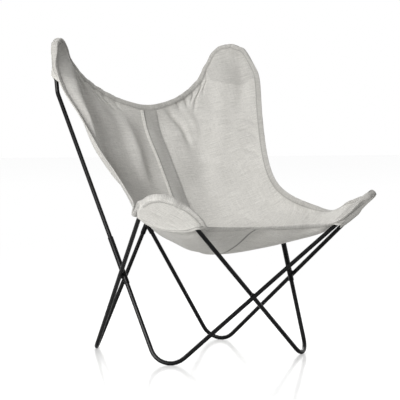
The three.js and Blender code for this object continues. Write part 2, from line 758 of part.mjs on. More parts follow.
// A cloth solid of even thickness from the faces of a grid
function clothGeometry(points, normals, faces, thickness, offset = 0) {
  const used = [...new Set(faces.flat())];
  const order = new Map(used.map((name, i) => [name, i]));
  const level = (height) => used.map((name) => moved(points[name], normals[name], height));
  const corners = [...level(offset + thickness / 2), ...level(offset - thickness / 2)];
  const triangles = [];
  const edges = new Map();
  for (const face of faces) {
    const [a, b, c] = face.map((name) => order.get(name));
    triangles.push([a, b, c], [c + used.length, b + used.length, a + used.length]);
    for (const [from, to] of [
      [a, b],
      [b, c],
      [c, a],
    ]) {
      if (edges.has(to + "," + from)) edges.delete(to + "," + from);
      else edges.set(from + "," + to, [from, to]);
    }
  }
  for (const [from, to] of edges.values()) {
    triangles.push([to, from, from + used.length], [to, from + used.length, to + used.length]);
  }
  return closedGeometry(corners, triangles);
}

// One half of the sling, with the layers at its two tips
function buildHalf(side) {
  const index = side < 0 ? 0 : 1;
  const other = loops[1 - index];
  const backTip = tipOf(backArm(index).tip, BACK_TIP_INNER_ANGLE, BACK_TIP_OUTER_ANGLE);
  const frontArc = bend(other.backFoot, other.frontPeak, other.frontFoot, FRONT_PEAK_BEND_RADIUS);
  const frontTip = tipOf(frontArc, FRONT_TIP_INNER_ANGLE, FRONT_TIP_OUTER_ANGLE);
  const surface = halfSurface(side, backTip, frontTip).flat();
  const middle = folded(surface, gridNormals(surface, side));
  const front = layer(layer(middle, backTip, inBackPocket, true), frontTip, inFrontPocket, true);
  for (let r = 0; r <= ROWS; r++) front[r * (COLUMNS + 1)].x = (side * GAP) / 2;
  const backPocket = layer(middle, backTip, inBackPocket, false);
  const frontPocket = layer(middle, frontTip, inFrontPocket, false);
  const withNormals = (points) => ({ points, normals: gridNormals(points, side) });
  return {
    tips: [backTip, frontTip],
    front: withNormals(front),
    backPocket: withNormals(backPocket),
    frontPocket: withNormals(frontPocket),
  };
}

// One station of a hem: a folded binding that holds the edges of the cloth and, at the tips, the
// rod. Each wall's points run from the front leg round the edge to the back leg.
function hemStation(half, r, c) {
  const edge = r * (COLUMNS + 1) + c;
  const band = inRange(r, ROWS) * (COLUMNS + 1) + Math.min(c, COLUMNS - 1);
  const front = half.front;
  let pocket = front;
  if (inBackPocket(r, c)) pocket = half.backPocket;
  if (inFrontPocket(r, c)) pocket = half.frontPocket;
  // Next to a pocket's mouth the back leg ends before the rod that comes out there
  const steps = mouthSteps(r, c);
  const near = half.tips.find((_, i) => steps[i] === 0 || steps[i] === -1);
  const room = near ? (near.seen(front.points[edge]).outside - rodToHem) / HEM_WIDTH : 1;
  const backShare = THREE.MathUtils.clamp(room, LEAST_LEG_SHARE, 1);
  const outward = direction(front.points[band], front.points[edge])
    .add(direction(pocket.points[band], pocket.points[edge]))
    .normalize();
  const wall = (offset, reach) => {
    const frontEdge = moved(front.points[edge], front.normals[edge], offset);
    const frontBand = moved(front.points[band], front.normals[band], offset);
    const backEdge = moved(pocket.points[edge], pocket.normals[edge], -offset);
    const backBand = moved(pocket.points[band], pocket.normals[band], -offset);
    const middle = between(frontEdge, backEdge, 0.5);
    const thickness = frontEdge.distanceTo(backEdge);
    const inset = Math.max(0, thickness / 2 - offset) * insetShare;
    const round = [Math.PI / 4, 0, -Math.PI / 4].map((angle) =>
      moved(between(middle, frontEdge, Math.sin(angle)), outward, (inset + reach) * Math.cos(angle)),
    );
    return [frontBand, frontEdge, ...round, backEdge, between(backEdge, backBand, backShare)];
  };
  return { outer: wall(hemOffset + HEM_WALL, GAP + HEM_WALL), inner: wall(hemOffset, GAP) };
}

// A hem solid along its stations. The walls are split as the cloth beside them is.
function hemGeometry(stations, splitFromEdge) {
  const ends = [
    [0, 1],
    [stations.length - 1, stations.length - 2],
  ];
  const rings = stations.map(({ outer, inner }) => [...outer, ...inner.slice().reverse()]);
  for (const [end, next] of ends) {
    const share = GAP / stations[end].outer[1].distanceTo(stations[next].outer[1]);
    rings[end] = rings[end].map((point, k) => between(point, rings[next][k], share));
  }
  const count = 2 * HEM_POINTS;
  const legEnds = [0, HEM_POINTS];
  const triangles = [];
  for (let i = 0; i < rings.length - 1; i++) {
    for (let k = 0; k < count; k++) {
      const a = i * count + k;
      const b = i * count + ((k + 1) % count);
      const c = b + count;
      const d = a + count;
      const splitAtB = splitFromEdge(i) === legEnds.includes(k);
      const atB = [[a, b, d], [b, c, d]];
      const atA = [[a, b, c], [a, c, d]];
      triangles.push(...(splitAtB ? atB : atA));
    }
  }
  const last = (rings.length - 1) * count;
  for (let k = 0; k < HEM_POINTS - 1; k++) {
    const [a, b, c, d] = [k, k + 1, count - 2 - k, count - 1 - k];
    triangles.push([a, c, b], [a, d, c]);
    triangles.push([last + a, last + b, last + c], [last + a, last + c, last + d]);
  }
  return closedGeometry(rings.flat(), triangles);
}

const halves = { left: buildHalf(-1), right: buildHalf(1) };

// The hem over the back or the front edge, from tip to tip
function crossHem(row) {
  const columns = Array.from({ length: COLUMNS }, (_, i) => i + 1);
  const left = columns.map((c) => hemStation(halves.left, row, c)).reverse();
  const right = columns.map((c) => hemStation(halves.right, row, c));
  const middles = [hemStation(halves.left, row, 0), hemStation(halves.right, row, 0)];
  const join = (wall) =>
    middles[0][wall].map((point, k) => between(point, middles[1][wall][k], 0.5));
  const centre = { outer: join("outer"), inner: join("inner") };
  return hemGeometry([...left, centre, ...right], (i) => i >= COLUMNS);
}

function sideHem(half) {
  const rows = Array.from({ length: ROWS + 1 }, (_, r) => r);
  return hemGeometry(
    rows.map((r) => hemStation(half, r, COLUMNS)),
    (i) => i >= ROWS / 2,
  );
}

// The strip lies on the sitter's side of the cloth, over the seam, between the two cross hems
function seamStrip() {
  const points = [];
  const normals = [];
  for (let r = 1; r < ROWS; r++) {
    const seam = r * (COLUMNS + 1);
    const [left, right] = [halves.left.front, halves.right.front];
    const middle = between(left.points[seam], right.points[seam], 0.5);
    points.push(left.points[seam + 1], middle, right.points[seam + 1]);
    const facing = left.normals[seam].clone().add(right.normals[seam]).normalize();
    normals.push(left.normals[seam + 1], facing, right.normals[seam + 1]);
  }
  for (const [end, next] of [
    [0, 3],
    [points.length - 3, points.length - 6],
  ]) {
    const share = (2 * GAP) / points[end + 1].distanceTo(points[next + 1]);
    for (let k = 0; k < 3; k++) {
      points[end + k] = between(points[end + k], points[next + k], share);
    }
  }
  const faces = [];
  for (let r = 0; r < ROWS - 2; r++) {
    const falling = r + 1 < ROWS / 2;
    for (const outer of [0, 2]) {
      const [a, b, c, d] = [3 * r + 1, 3 * r + outer, 3 * (r + 1) + outer, 3 * (r + 1) + 1];
      const atA = [[a, b, c], [a, c, d]];
      const atB = [[a, b, d], [b, c, d]];
      const pair = falling ? atA : atB;
      faces.push(...(outer === 2 ? pair : pair.map(([u, v, w]) => [u, w, v])));
    }
  }
  const offset = CLOTH_THICKNESS / 2 + GAP + STRIP_THICKNESS / 2;
  return clothGeometry(points, normals, faces, STRIP_THICKNESS, offset);
}

const frame = new THREE.Group();
["a", "b"].forEach((letter, index) => {
  frame.add(piece("lower_rod_" + letter, cutAtFloor(rodGeometry(lowerRun(index))), steel));
});
["left", "right"].forEach((name, index) => {
  const { backPeak, backFoot } = loops[index];
  const side = sideCrossings[index];
  frame.add(piece("back_arm_" + name, rodGeometry(backArm(index).run), steel));
  frame.add(socket("socket_side_" + name, side.onA, side.alongA));
  frame.add(socket("socket_rear_" + name, rearPoints[index], direction(backFoot, backPeak)));
  frame.add(weld("weld_side_" + name, side, SOCKET_RADIUS, ROD_RADIUS));
});
frame.add(weld("weld_front", frontCrossing, ROD_RADIUS, ROD_RADIUS));
frame.add(weld("weld_rear", rearCrossing, SOCKET_RADIUS, SOCKET_RADIUS));

const sling = new THREE.Group();
for (const [name, half] of Object.entries(halves)) {
  const { front, backPocket, frontPocket } = half;
  const cloth = ({ points, normals }, faces) =>
    clothGeometry(points, normals, faces, CLOTH_THICKNESS);
  sling.add(piece("sling_panel_" + name, cloth(front, clothFaces), fabric));
  sling.add(piece("pocket_back_" + name, cloth(backPocket, backPocketFaces), seamFabric));
  sling.add(piece("pocket_front_" + name, cloth(frontPocket, frontPocketFaces), seamFabric));
  sling.add(piece("hem_side_" + name, sideHem(half), hemFabric));
}
sling.add(piece("hem_back", crossHem(0), hemFabric));
sling.add(piece("hem_front", crossHem(ROWS), hemFabric));
sling.add(piece("seam_strip", seamStrip(), seamFabric));

// The origin lies on the floor, under the middle of the chair
const chair = new THREE.Group();
chair.add(frame, sling);
chair.updateMatrixWorld(true);
const box = new THREE.Box3().setFromObject(chair, true);
chair.position.set(0, -(box.min.y + box.max.y) / 2, 0);

export default chair;
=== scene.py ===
import math

import bmesh
import bpy
import numpy as np
from mathutils import Matrix, Vector


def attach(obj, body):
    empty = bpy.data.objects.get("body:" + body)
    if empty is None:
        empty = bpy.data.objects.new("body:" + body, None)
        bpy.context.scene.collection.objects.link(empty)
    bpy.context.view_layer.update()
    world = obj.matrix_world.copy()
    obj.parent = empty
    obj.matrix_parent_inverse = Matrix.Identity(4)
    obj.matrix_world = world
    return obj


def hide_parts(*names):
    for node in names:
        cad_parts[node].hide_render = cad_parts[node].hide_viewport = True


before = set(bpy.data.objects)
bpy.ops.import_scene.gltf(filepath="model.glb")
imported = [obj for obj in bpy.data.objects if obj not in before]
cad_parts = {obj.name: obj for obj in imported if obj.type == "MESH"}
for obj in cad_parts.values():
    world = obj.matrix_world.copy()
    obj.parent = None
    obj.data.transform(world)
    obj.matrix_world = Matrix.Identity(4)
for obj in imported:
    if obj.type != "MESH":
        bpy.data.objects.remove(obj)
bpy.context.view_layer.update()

# The camera stands where the photograph was taken: in front, a little to the left, about at the
# height of the seat's back. It looks at the middle of the chair through a long lens.
AZIMUTH = math.radians(-32.379)
ELEVATION = math.radians(2.112)
DISTANCE = 4.9927
AIM = Vector((0, 0.0355, 0.45))
PAN = math.radians(0.140)
TILT = math.radians(-0.2105)
ROLL = math.radians(0.143)
LENS_MM = 157.77
FILM_MM = 36
FAR_CLIP = 60

towards_camera = Vector(
    (
        math.sin(AZIMUTH) * math.cos(ELEVATION),
        -math.cos(AZIMUTH) * math.cos(ELEVATION),
        math.sin(ELEVATION),
    )
)
level_right = (-towards_camera).cross(Vector((0, 0, 1))).normalized()
level_up = level_right.cross(-towards_camera)
panned = level_right * math.tan(PAN) + level_up * math.tan(TILT)
forward = (-towards_camera + panned).normalized()
right = forward.cross(Vector((0, 0, 1))).normalized()
up = right.cross(forward)
rolled_right = right * math.cos(ROLL) + up * math.sin(ROLL)
rolled_up = up * math.cos(ROLL) - right * math.sin(ROLL)


def placed(name, data):
    """A new object in the scene."""
    made = bpy.data.objects.new(name, data)
    bpy.context.scene.collection.objects.link(made)
    return made


camera = placed("camera", bpy.data.cameras.new("camera"))
camera.data.sensor_width = FILM_MM
camera.data.lens = LENS_MM
camera.data.clip_end = FAR_CLIP
turn = Matrix((rolled_right, rolled_up, -forward)).transposed().to_4x4()
camera.matrix_world = Matrix.Translation(AIM + towards_camera * DISTANCE) @ turn
bpy.context.scene.camera = camera
bpy.context.scene.view_settings.view_transform = "Standard"


class Wire:
    """An output in a node tree. Sums on it add Math nodes, and node() adds any other. It can
    also place a noise, blend two colours, or stand as the relief of a surface."""

    def __init__(self, tree, socket=None):
        self.tree = tree
        self.socket = socket

    def node(self, kind, sockets=(), output=0, **settings):
        made = self.tree.nodes.new("ShaderNode" + kind)
        for name, value in settings.items():
            setattr(made, name, value)
        for name, value in dict(sockets).items():
            if isinstance(value, Wire):
                self.tree.links.new(value.socket, made.inputs[name])
            else:
                made.inputs[name].default_value = value
        return Wire(self.tree, made.outputs[output]) if made.outputs else made

    def place(self):
        """Places on a piece, in metres."""
        return self.node("TexCoord", output="Object")

    def rays(self, kind):
        """1 for light rays of one kind and 0 for the others."""
        return self.node("LightPath", output=f"Is {kind} Ray")

    def math(self, operation, other=0.0):
        return self.node("Math", {0: self, 1: other}, operation=operation)

    def __add__(self, other):
        return self.math("ADD", other)

    def __mul__(self, other):
        return self.math("MULTIPLY", other)

    __radd__ = __add__
    __rmul__ = __mul__

    def noise(self, scale, detail):
        return self.node("TexNoise", {"Vector": self, "Scale": scale, "Detail": detail})

    def blend(self, first, second):
        """The first colour where this is 0, and the second where it is 1."""
        return self.node("Mix", {0: self, 6: first, 7: second}, output=2, data_type="RGBA")

    def relief(self, strength, depth):
        return self.node("Bump", {"Strength": strength, "Distance": depth, "Height": self})


def shade(name):
    """A material with an empty tree, as a wire to build on."""
    material = bpy.data.materials.new(name)
    material.use_nodes = True
    material.node_tree.nodes.clear()
    return material, Wire(material.node_tree)


def finish(base, sockets):
    """Ends a material's tree in one shader."""
    shader = base.node("BsdfPrincipled", sockets)
    base.node("OutputMaterial", {"Surface": shader})


def linear(red, green, blue):
    """A colour as the eye sees it, 0 to 255, for a shader."""
    seen = (value / 255 for value in (red, green, blue))
    return (*(v / 12.92 if v <= 0.04045 else ((v + 0.055) / 1.055) ** 2.4 for v in seen), 1)


# The studio: a white sweep of polished floor that runs out of sight, under a bright even sky. The
# camera sees it as white, and the floor keeps the chair's shadow and a faint reflection of it.
FLOOR_SIZE = 60
WHITE = (1, 1, 1, 1)
FLOOR_WHITE = linear(238, 238, 237)
FLOOR_GLOW = 0.62
# The floor turns plain white between these distances from the chair's middle
FAR_WHITE = (0.9, 2.6)
MIRROR_SHARE = 0.42
MIRROR_ROUGHNESS = 0.11
SCUFF_ROUGHNESS = 0.05
SCUFF_SCALE = 3.0
SKY_LIGHT = 0.13
# Each lamp's place, width in metres and power in watts
LAMPS = [
    ("key_lamp", (-3.9, -2.2, 1.6), 1.6, 190),
    ("top_lamp", (0, 0, 4.9), 2.2, 68),
    ("back_lamp", (1.6, 3.4, 2.4), 1.8, 90),
]

floor_finish, base = shade("polished white floor")
place = base.place()
scuff = place.noise(SCUFF_SCALE, 3.0)
distance = base.node("VectorMath", {0: place}, output="Value", operation="LENGTH")
reach = {"Value": distance, "From Min": FAR_WHITE[0], "From Max": FAR_WHITE[1]}
far = base.node("MapRange", reach, interpolation_type="SMOOTHSTEP")
matt = base.node("BsdfDiffuse", {"Color": FLOOR_WHITE})
glow = base.node("Emission", {"Color": WHITE, "Strength": FLOOR_GLOW})
white = base.node("Emission", {"Color": WHITE, "Strength": 1.0})
bright = base.node("AddShader", {0: matt, 1: glow})
sweep = base.node("MixShader", {0: far, 1: bright, 2: white})
shine = MIRROR_ROUGHNESS + SCUFF_ROUGHNESS * scuff
gloss = base.node("BsdfGlossy", {"Color": WHITE, "Roughness": shine})
polished = base.node("MixShader", {0: MIRROR_SHARE, 1: sweep, 2: gloss})
chosen = base.node("MixShader", {0: base.rays("Camera"), 1: matt, 2: polished})
base.node("OutputMaterial", {"Surface": chosen})

bpy.ops.mesh.primitive_plane_add(size=FLOOR_SIZE)
floor = bpy.context.object
floor.name = "floor"
floor.data.materials.append(floor_finish)

world = bpy.data.worlds.new("studio")
bpy.context.scene.world = world
world.use_nodes = True
world.node_tree.nodes.clear()
sky = Wire(world.node_tree)
seen = sky.rays("Camera").math("MAXIMUM", sky.rays("Glossy"))
direct = seen.math("MAXIMUM", sky.rays("Transmission"))
strength = SKY_LIGHT + (1 - SKY_LIGHT) * direct
sky_light = sky.node("Background", {"Color": WHITE, "Strength": strength})
sky.node("OutputWorld", {"Surface": sky_light})

for name, place, size, watts in LAMPS:
    lamp = placed(name, bpy.data.lights.new(name, "AREA"))
    lamp.data.size = size
    lamp.data.energy = watts
    lamp.location = place
    lamp.rotation_euler = (AIM - Vector(place)).to_track_quat("-Z", "Y").to_euler()


# The frame: round steel rod of 12 mm, bent cold, welded where the rods cross, and covered with
# satin black powder. The sleeves that take the back arms and the weld beads have the same coat.
STEEL_BLACK = linear(9, 9, 10)
STEEL_WORN = linear(22, 22, 23)
WEAR_SCALE = 26.0
WEAR_RARITY = 3.0
WEAR_ROUGHNESS = 0.12
PEEL_SCALE = 900.0
PEEL_DEPTH = 0.0002
PEEL_STRENGTH = 0.25
COAT_SHINE = 0.14


def powder_coat(name, dullness):
    """Black powder coat with a fine orange peel, a little greyer where it is worn."""
    material, base = shade(name)
    place = base.place()
    wear = place.noise(WEAR_SCALE, 4.0)
    peel = place.noise(PEEL_SCALE, 2.0)
    sockets = {
        "Base Color": wear.math("POWER", WEAR_RARITY).blend(STEEL_BLACK, STEEL_WORN),
        "Roughness": dullness + WEAR_ROUGHNESS * wear,
        "Specular IOR Level": COAT_SHINE,
        "Normal": peel.relief(PEEL_STRENGTH, PEEL_DEPTH),
    }
    finish(base, sockets)
    return material


rod_coat = powder_coat("satin black powder coat", dullness=0.26)
bead_coat = powder_coat("powder coat over weld", dullness=0.38)
for name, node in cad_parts.items():
    if name.startswith(("lower_rod", "back_arm", "socket")):
        node.material_slots[0].material = rod_coat
    if name.startswith("weld"):
        node.material_slots[0].material = bead_coat


# The sling's panels: two halves of heavy grey cotton and linen, sewn together down the centre. Each
# is stretched between a back peak and a front peak, and hangs in a deep curve between them. They
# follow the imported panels, whose grids of points are read first, with the rods inside the peaks.
CLOTH_THICKNESS = 0.0012
GRID_SPACING = 0.003
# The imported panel's rim faces have a side shorter than this
RIM_LENGTH = 0.0015
# The hem's width, which the panel's lines follow too
BAND = 0.014
MM = 0.001
SAME_PLACE_DIGITS = 6
ROD_RADIUS = 0.006
ROD_SIDES = 12
LOWEST_CLOTH = 0.25


def smooth(value):
    """From 0 to 1 without a kink, as the value goes from 0 to 1."""
    value = np.clip(value, 0, 1)
    return value * value * (3 - 2 * value)


def bell(value):
    """A smooth bump, 1 at 0 and gone by 3."""
    return np.exp(-(value**2))


def unit(vectors):
    """Vectors, each made one long."""
    return vectors / np.linalg.norm(vectors, axis=-1)[..., None]


def lengths_along(lines):
    """How far each point lies along its line; the points of a line are on the last axis but one."""
    steps = np.linalg.norm(np.diff(lines, axis=-2), axis=-1)
    return np.concatenate([np.zeros_like(steps[..., :1]), np.cumsum(steps, axis=-1)], axis=-1)


def nearest_on(line, points):
    """Each point's nearest place on a line: how far along it is, the way off it, and its run."""
    run = np.diff(line, axis=0)
    lengths = np.linalg.norm(run, axis=1)
    off = points[:, None] - line[None, :-1]
    share = np.clip((off * run).sum(axis=2) / lengths**2, 0, 1)
    away = off - share[..., None] * run
    nearest = np.linalg.norm(away, axis=2).argmin(axis=1)
    every = np.arange(len(points))
    along = lengths_along(line)[nearest] + share[every, nearest] * lengths[nearest]
    return along, away[every, nearest], run[nearest]


def welded(node):
    """The corners of a CAD piece, each once, and its triangles as numbers of those corners."""
    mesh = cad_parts[node].data
    mesh.calc_loop_triangles()
    raw = np.array([vertex.co for vertex in mesh.vertices])
    raw = np.round(raw, SAME_PLACE_DIGITS)
    keys, names = np.unique(raw, axis=0, return_inverse=True)
    triangles = np.array([triangle.vertices[:] for triangle in mesh.loop_triangles])
    return keys, names.reshape(-1)[triangles]


def edges_of(faces):
    """The three edges of each triangle."""
    return [(face[k], face[(k + 1) % 3]) for face in faces.tolist() for k in range(3)]


def neighbours_of(edges):
    """The places that edges join to each place."""
    beside = {}
    for a, b in edges:
        beside.setdefault(a, set()).add(b)
        beside.setdefault(b, set()).add(a)
    return beside


def steps_from(starts, neighbours):
    """How many steps each place lies from the nearest of the starts."""
    steps = dict.fromkeys(starts, 0)
    waiting = list(starts)
    for place in waiting:
        for other in neighbours[place]:
            if other not in steps:
                steps[other] = steps[place] + 1
                waiting.append(other)
    return steps


def groups(neighbours):
    """The groups of places that hang together."""
    left, found = set(neighbours), []
    while left:
        found.append(sorted(steps_from([min(left)], neighbours)))
        left -= set(found[-1])
    return found


def rod_rings(node):
    """Centres of the rings of a CAD rod, and which rings lie next to each other."""
    keys, triangles = welded(node)
    chord = 2 * ROD_RADIUS * math.sin(math.pi / ROD_SIDES)
    edges = edges_of(triangles)
    lengths = [np.linalg.norm(keys[a] - keys[b]) for a, b in edges]
    around = [edge for edge, length in zip(edges, lengths) if abs(length - chord) < chord / 100]
    rings = {ring[0]: ring for ring in groups(neighbours_of(around)) if len(ring) == ROD_SIDES}
    ring_of = {point: first for first, ring in rings.items() for point in ring}
    pairs = [(ring_of.get(a), ring_of.get(b)) for a, b in edges]
    beside = neighbours_of(pair for pair in pairs if None not in pair and pair[0] != pair[1])
    return {first: keys[ring].mean(axis=0) for first, ring in rings.items()}, beside


rods = {
    name: rod_rings(name)
    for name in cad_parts
    if name.startswith(("lower_rod", "back_arm"))
}
# The straight runs between the rods' rings, up where the cloth is
rod_runs = [
    (centres[a], centres[b])
    for centres, beside in rods.values()
    for a in centres
    for b in beside[a]
    if a < b and max(centres[a][2], centres[b][2]) > LOWEST_CLOTH
]


def from_rods(points):
    """How far points lie from the nearest rod's centre line, and which way from it."""
    distance = np.full(len(points), np.inf)
    away = np.zeros(points.shape)
    for start, end in rod_runs:
        run = end - start
        share = np.clip((points - start) @ run / (run @ run), 0, 1)
        off = points - start - share[:, None] * run
        length = np.linalg.norm(off, axis=1)
        nearer = length < distance
        distance[nearer] = length[nearer]
        away[nearer] = off[nearer] / np.maximum(length[nearer], 1e-9)[:, None]
    return distance, away


def sitters_grid(node):
    """The sitter's side of a CAD panel: rows from the back edge to the front, columns outwards."""
    keys, faces = welded(node)
    corners = keys[faces]
    edge_lengths = np.linalg.norm(corners - np.roll(corners, 1, axis=1), axis=2)
    faces = faces[edge_lengths.min(axis=1) > RIM_LENGTH]
    corners = keys[faces]
    facing = np.cross(corners[:, 1] - corners[:, 0], corners[:, 2] - corners[:, 0])
    neighbours = neighbours_of(edges_of(faces))
    # Without its thin rim, the panel's two sides are joined no more
    sides = [np.isin(faces[:, 0], group) for group in groups(neighbours)]
    towards_sitter = Vector((0, -1, 1)).normalized()
    kept = faces[max(sides, key=lambda side: facing[side].sum(axis=0) @ towards_sitter)]
    edges = edges_of(kept)
    both_ways = set(edges)
    around = neighbours_of((a, b) for a, b in edges if (b, a) not in both_ways)
    seam = [point for point in around if abs(keys[point][0]) < RIM_LENGTH]
    seam.sort(key=lambda point: -keys[point][1])
    column = steps_from(seam, neighbours)
    columns = max(column.values())
    edge = [seam[0]]
    ahead = next(point for point in around[seam[0]] if point != seam[1])
    while len(edge) <= columns:
        edge.append(ahead)
        ahead = next(point for point in around[ahead] if point != edge[-2])
    row = steps_from(edge, neighbours)
    grid = np.zeros((max(row.values()) + 1, columns + 1, 3))
    for point in row:
        grid[row[point], column[point]] = keys[point]
    return grid


def spline_weights(knots, places):
    """How much each knot counts at each place of a natural cubic spline."""
    count = len(knots)
    gaps = np.diff(knots)
    system = np.eye(count)
    known = np.zeros((count, count))
    for i in range(1, count - 1):
        system[i, i - 1 : i + 2] = gaps[i - 1], 2 * (gaps[i - 1] + gaps[i]), gaps[i]
        known[i, i - 1 : i + 2] = 1 / gaps[i - 1], -1 / gaps[i - 1] - 1 / gaps[i], 1 / gaps[i]
    curving = np.linalg.solve(system, 6 * known)
    index = np.clip(np.searchsorted(knots, places, side="right") - 1, 0, count - 2)
    gap = gaps[index][:, None]
    after = ((places - knots[index]) / gaps[index])[:, None]
    before = 1 - after
    eye = np.eye(count)
    bow = before * (before**2 - 1) * curving[index] + after * (after**2 - 1) * curving[index + 1]
    return before * eye[index] + after * eye[index + 1] + bow * gap**2 / 6


# Heavy cloth stays stiff beside its hems and its seam, and can't sink where it lies on a rod
EDGE_STIFF = 0.003
EDGE_FADE = 0.016
SEAM_FADE = 0.026
ROD_FADE = 0.022
FOLD_STEPS = 6
FOLD_END_SHARE = 0.38
FOLD_REACH = 3
# How far the cloth beside the seam stands forward of a sharp fold, over what width, and the rows
# where that begins, is full, starts to fade and is gone
CENTRE_ROUND = 0.014
CENTRE_ROUND_WIDTH = 0.078
CENTRE_ROUND_ROWS = (0.02, 0.16, 0.34, 0.52)
# Length down and across the cloth, phase and height of the broad waves in it
WAVES = [(0.21, 0.34, 0.1, 0.0013), (-0.13, 0.19, 0.4, 0.0007), (0.31, -0.11, 0.7, 0.0006)]


def hanging_waves(rows, columns):
    return sum(
        height * np.sin(2 * math.pi * (rows / down + columns / across + phase))
        for down, across, phase, height in WAVES
    )


class Fold:
    """A fold along a line of places on the cloth: rows down from the back edge, then columns
    out from the seam, in millimetres. A valley has a height below zero."""

    def __init__(self, height, width, lean, *places):
        corners = np.array(places) * MM
        steps = np.linspace(0, len(corners) - 1, FOLD_STEPS * (len(corners) - 1) + 1)
        self.line = spline_weights(np.arange(len(corners)), steps) @ corners
        self.height = height * MM
        self.width = width * MM
        self.lean = lean

    def at(self, rows, columns):
        here = np.stack([rows, columns], axis=-1)
        low = self.line.min(axis=0) - FOLD_REACH * self.width
        high = self.line.max(axis=0) + FOLD_REACH * self.width
        near = ((here > low) & (here < high)).all(axis=1)
        heights = np.zeros(len(rows))
        if not near.any():
            return heights
        along, away, run = nearest_on(self.line, here[near])
        place = along / lengths_along(self.line)[-1]
        side = np.sign(run[:, 0] * away[:, 1] - run[:, 1] * away[:, 0])
        beside = side * np.linalg.norm(away, axis=1) / self.width
        ends = smooth(place / FOLD_END_SHARE) * smooth((1 - place) / FOLD_END_SHARE)
        heights[near] = self.height * ends * bell(beside) * (1 + self.lean * beside)
        return heights


# Each fold's height, width and lean, and its places, in millimetres
FOLDS = {
    "left": [
        # The hollow inside the long side, from the back peak down into the seat
        (-24, 32, 0.6, (10, 222), (103, 241), (203, 262), (301, 280), (380, 245), (450, 190)),
        # The broad ridges on both sides of that hollow
        (6, 40, 0, (40, 165), (130, 172), (240, 180), (340, 160)),
        (19, 26, 0, (40, 300), (130, 318), (230, 332), (330, 342), (400, 340)),
        # The ridge beside the centre strip, which falls towards the seam
        (16, 31, 0, (10, 92), (80, 96), (170, 104), (290, 110), (400, 104)),
        # Gathers under the back hem
        (-4.6, 6.5, 0.5, (-20, 252), (20, 238), (60, 226), (105, 222)),
        (-3.8, 5.5, 0.5, (-20, 200), (35, 182), (85, 172)),
        (-3.4, 5.5, 0.5, (-20, 166), (25, 154), (66, 146)),
        (-4.2, 6.5, 0.5, (-20, 136), (25, 126), (74, 118)),
        (-3, 5.5, 0.5, (-20, 100), (20, 94), (56, 90)),
    ],
    "right": [
        # The soft ridge down from the back peak, with a hollow on its outer side
        (9, 34, 0, (-20, 322), (60, 288), (140, 255), (240, 228), (340, 200)),
        (-9, 26, 0.4, (30, 356), (100, 346), (170, 328), (250, 305)),
        # The wide hollow beside the centre
        (-11, 42, 0, (70, 118), (160, 134), (280, 142), (420, 135)),
        # The long slanting fold from the back hem
        (-7, 11, -0.9, (-20, 44), (30, 68), (75, 92), (130, 112), (210, 120)),
        (3.4, 12, 0, (20, 98), (70, 126), (130, 146), (190, 152)),
        # Gathers under the back hem
        (-3.2, 5.5, 0.5, (-20, 78), (20, 94), (54, 108)),
        (-4, 6, 0.5, (-20, 104), (26, 124), (72, 142)),
        (-4.6, 7, 0.7, (-20, 204), (38, 180), (100, 146)),
        (-3, 5.5, 0.5, (-20, 152), (24, 150), (64, 146)),
        (-3.4, 6, 0.5, (-20, 236), (34, 216), (80, 198)),
        # Drag creases from the outer hem
        (-3.4, 6.5, 0.8, (205, 275), (221, 288), (265, 331), (312, 371), (330, 390)),
        (-3, 6, 0.8, (245, 272), (299, 327), (347, 366), (360, 390)),
        (-2.8, 6.5, 0.6, (306, 262), (345, 312), (386, 351), (400, 390)),
        # Creases from the front pocket across the seat
        (-3.6, 9, 0.6, (585, 390), (610, 358), (645, 325), (690, 280)),
        (-2.6, 7, 0.6, (560, 385), (590, 354), (625, 318), (660, 290)),
        (-1.8, 8, 0.3, (480, 176), (540, 196), (600, 220)),
    ],
}


# How many of its own steps the seam's line runs on past its ends, to measure the cloth from
PROFILE_REACH = 20


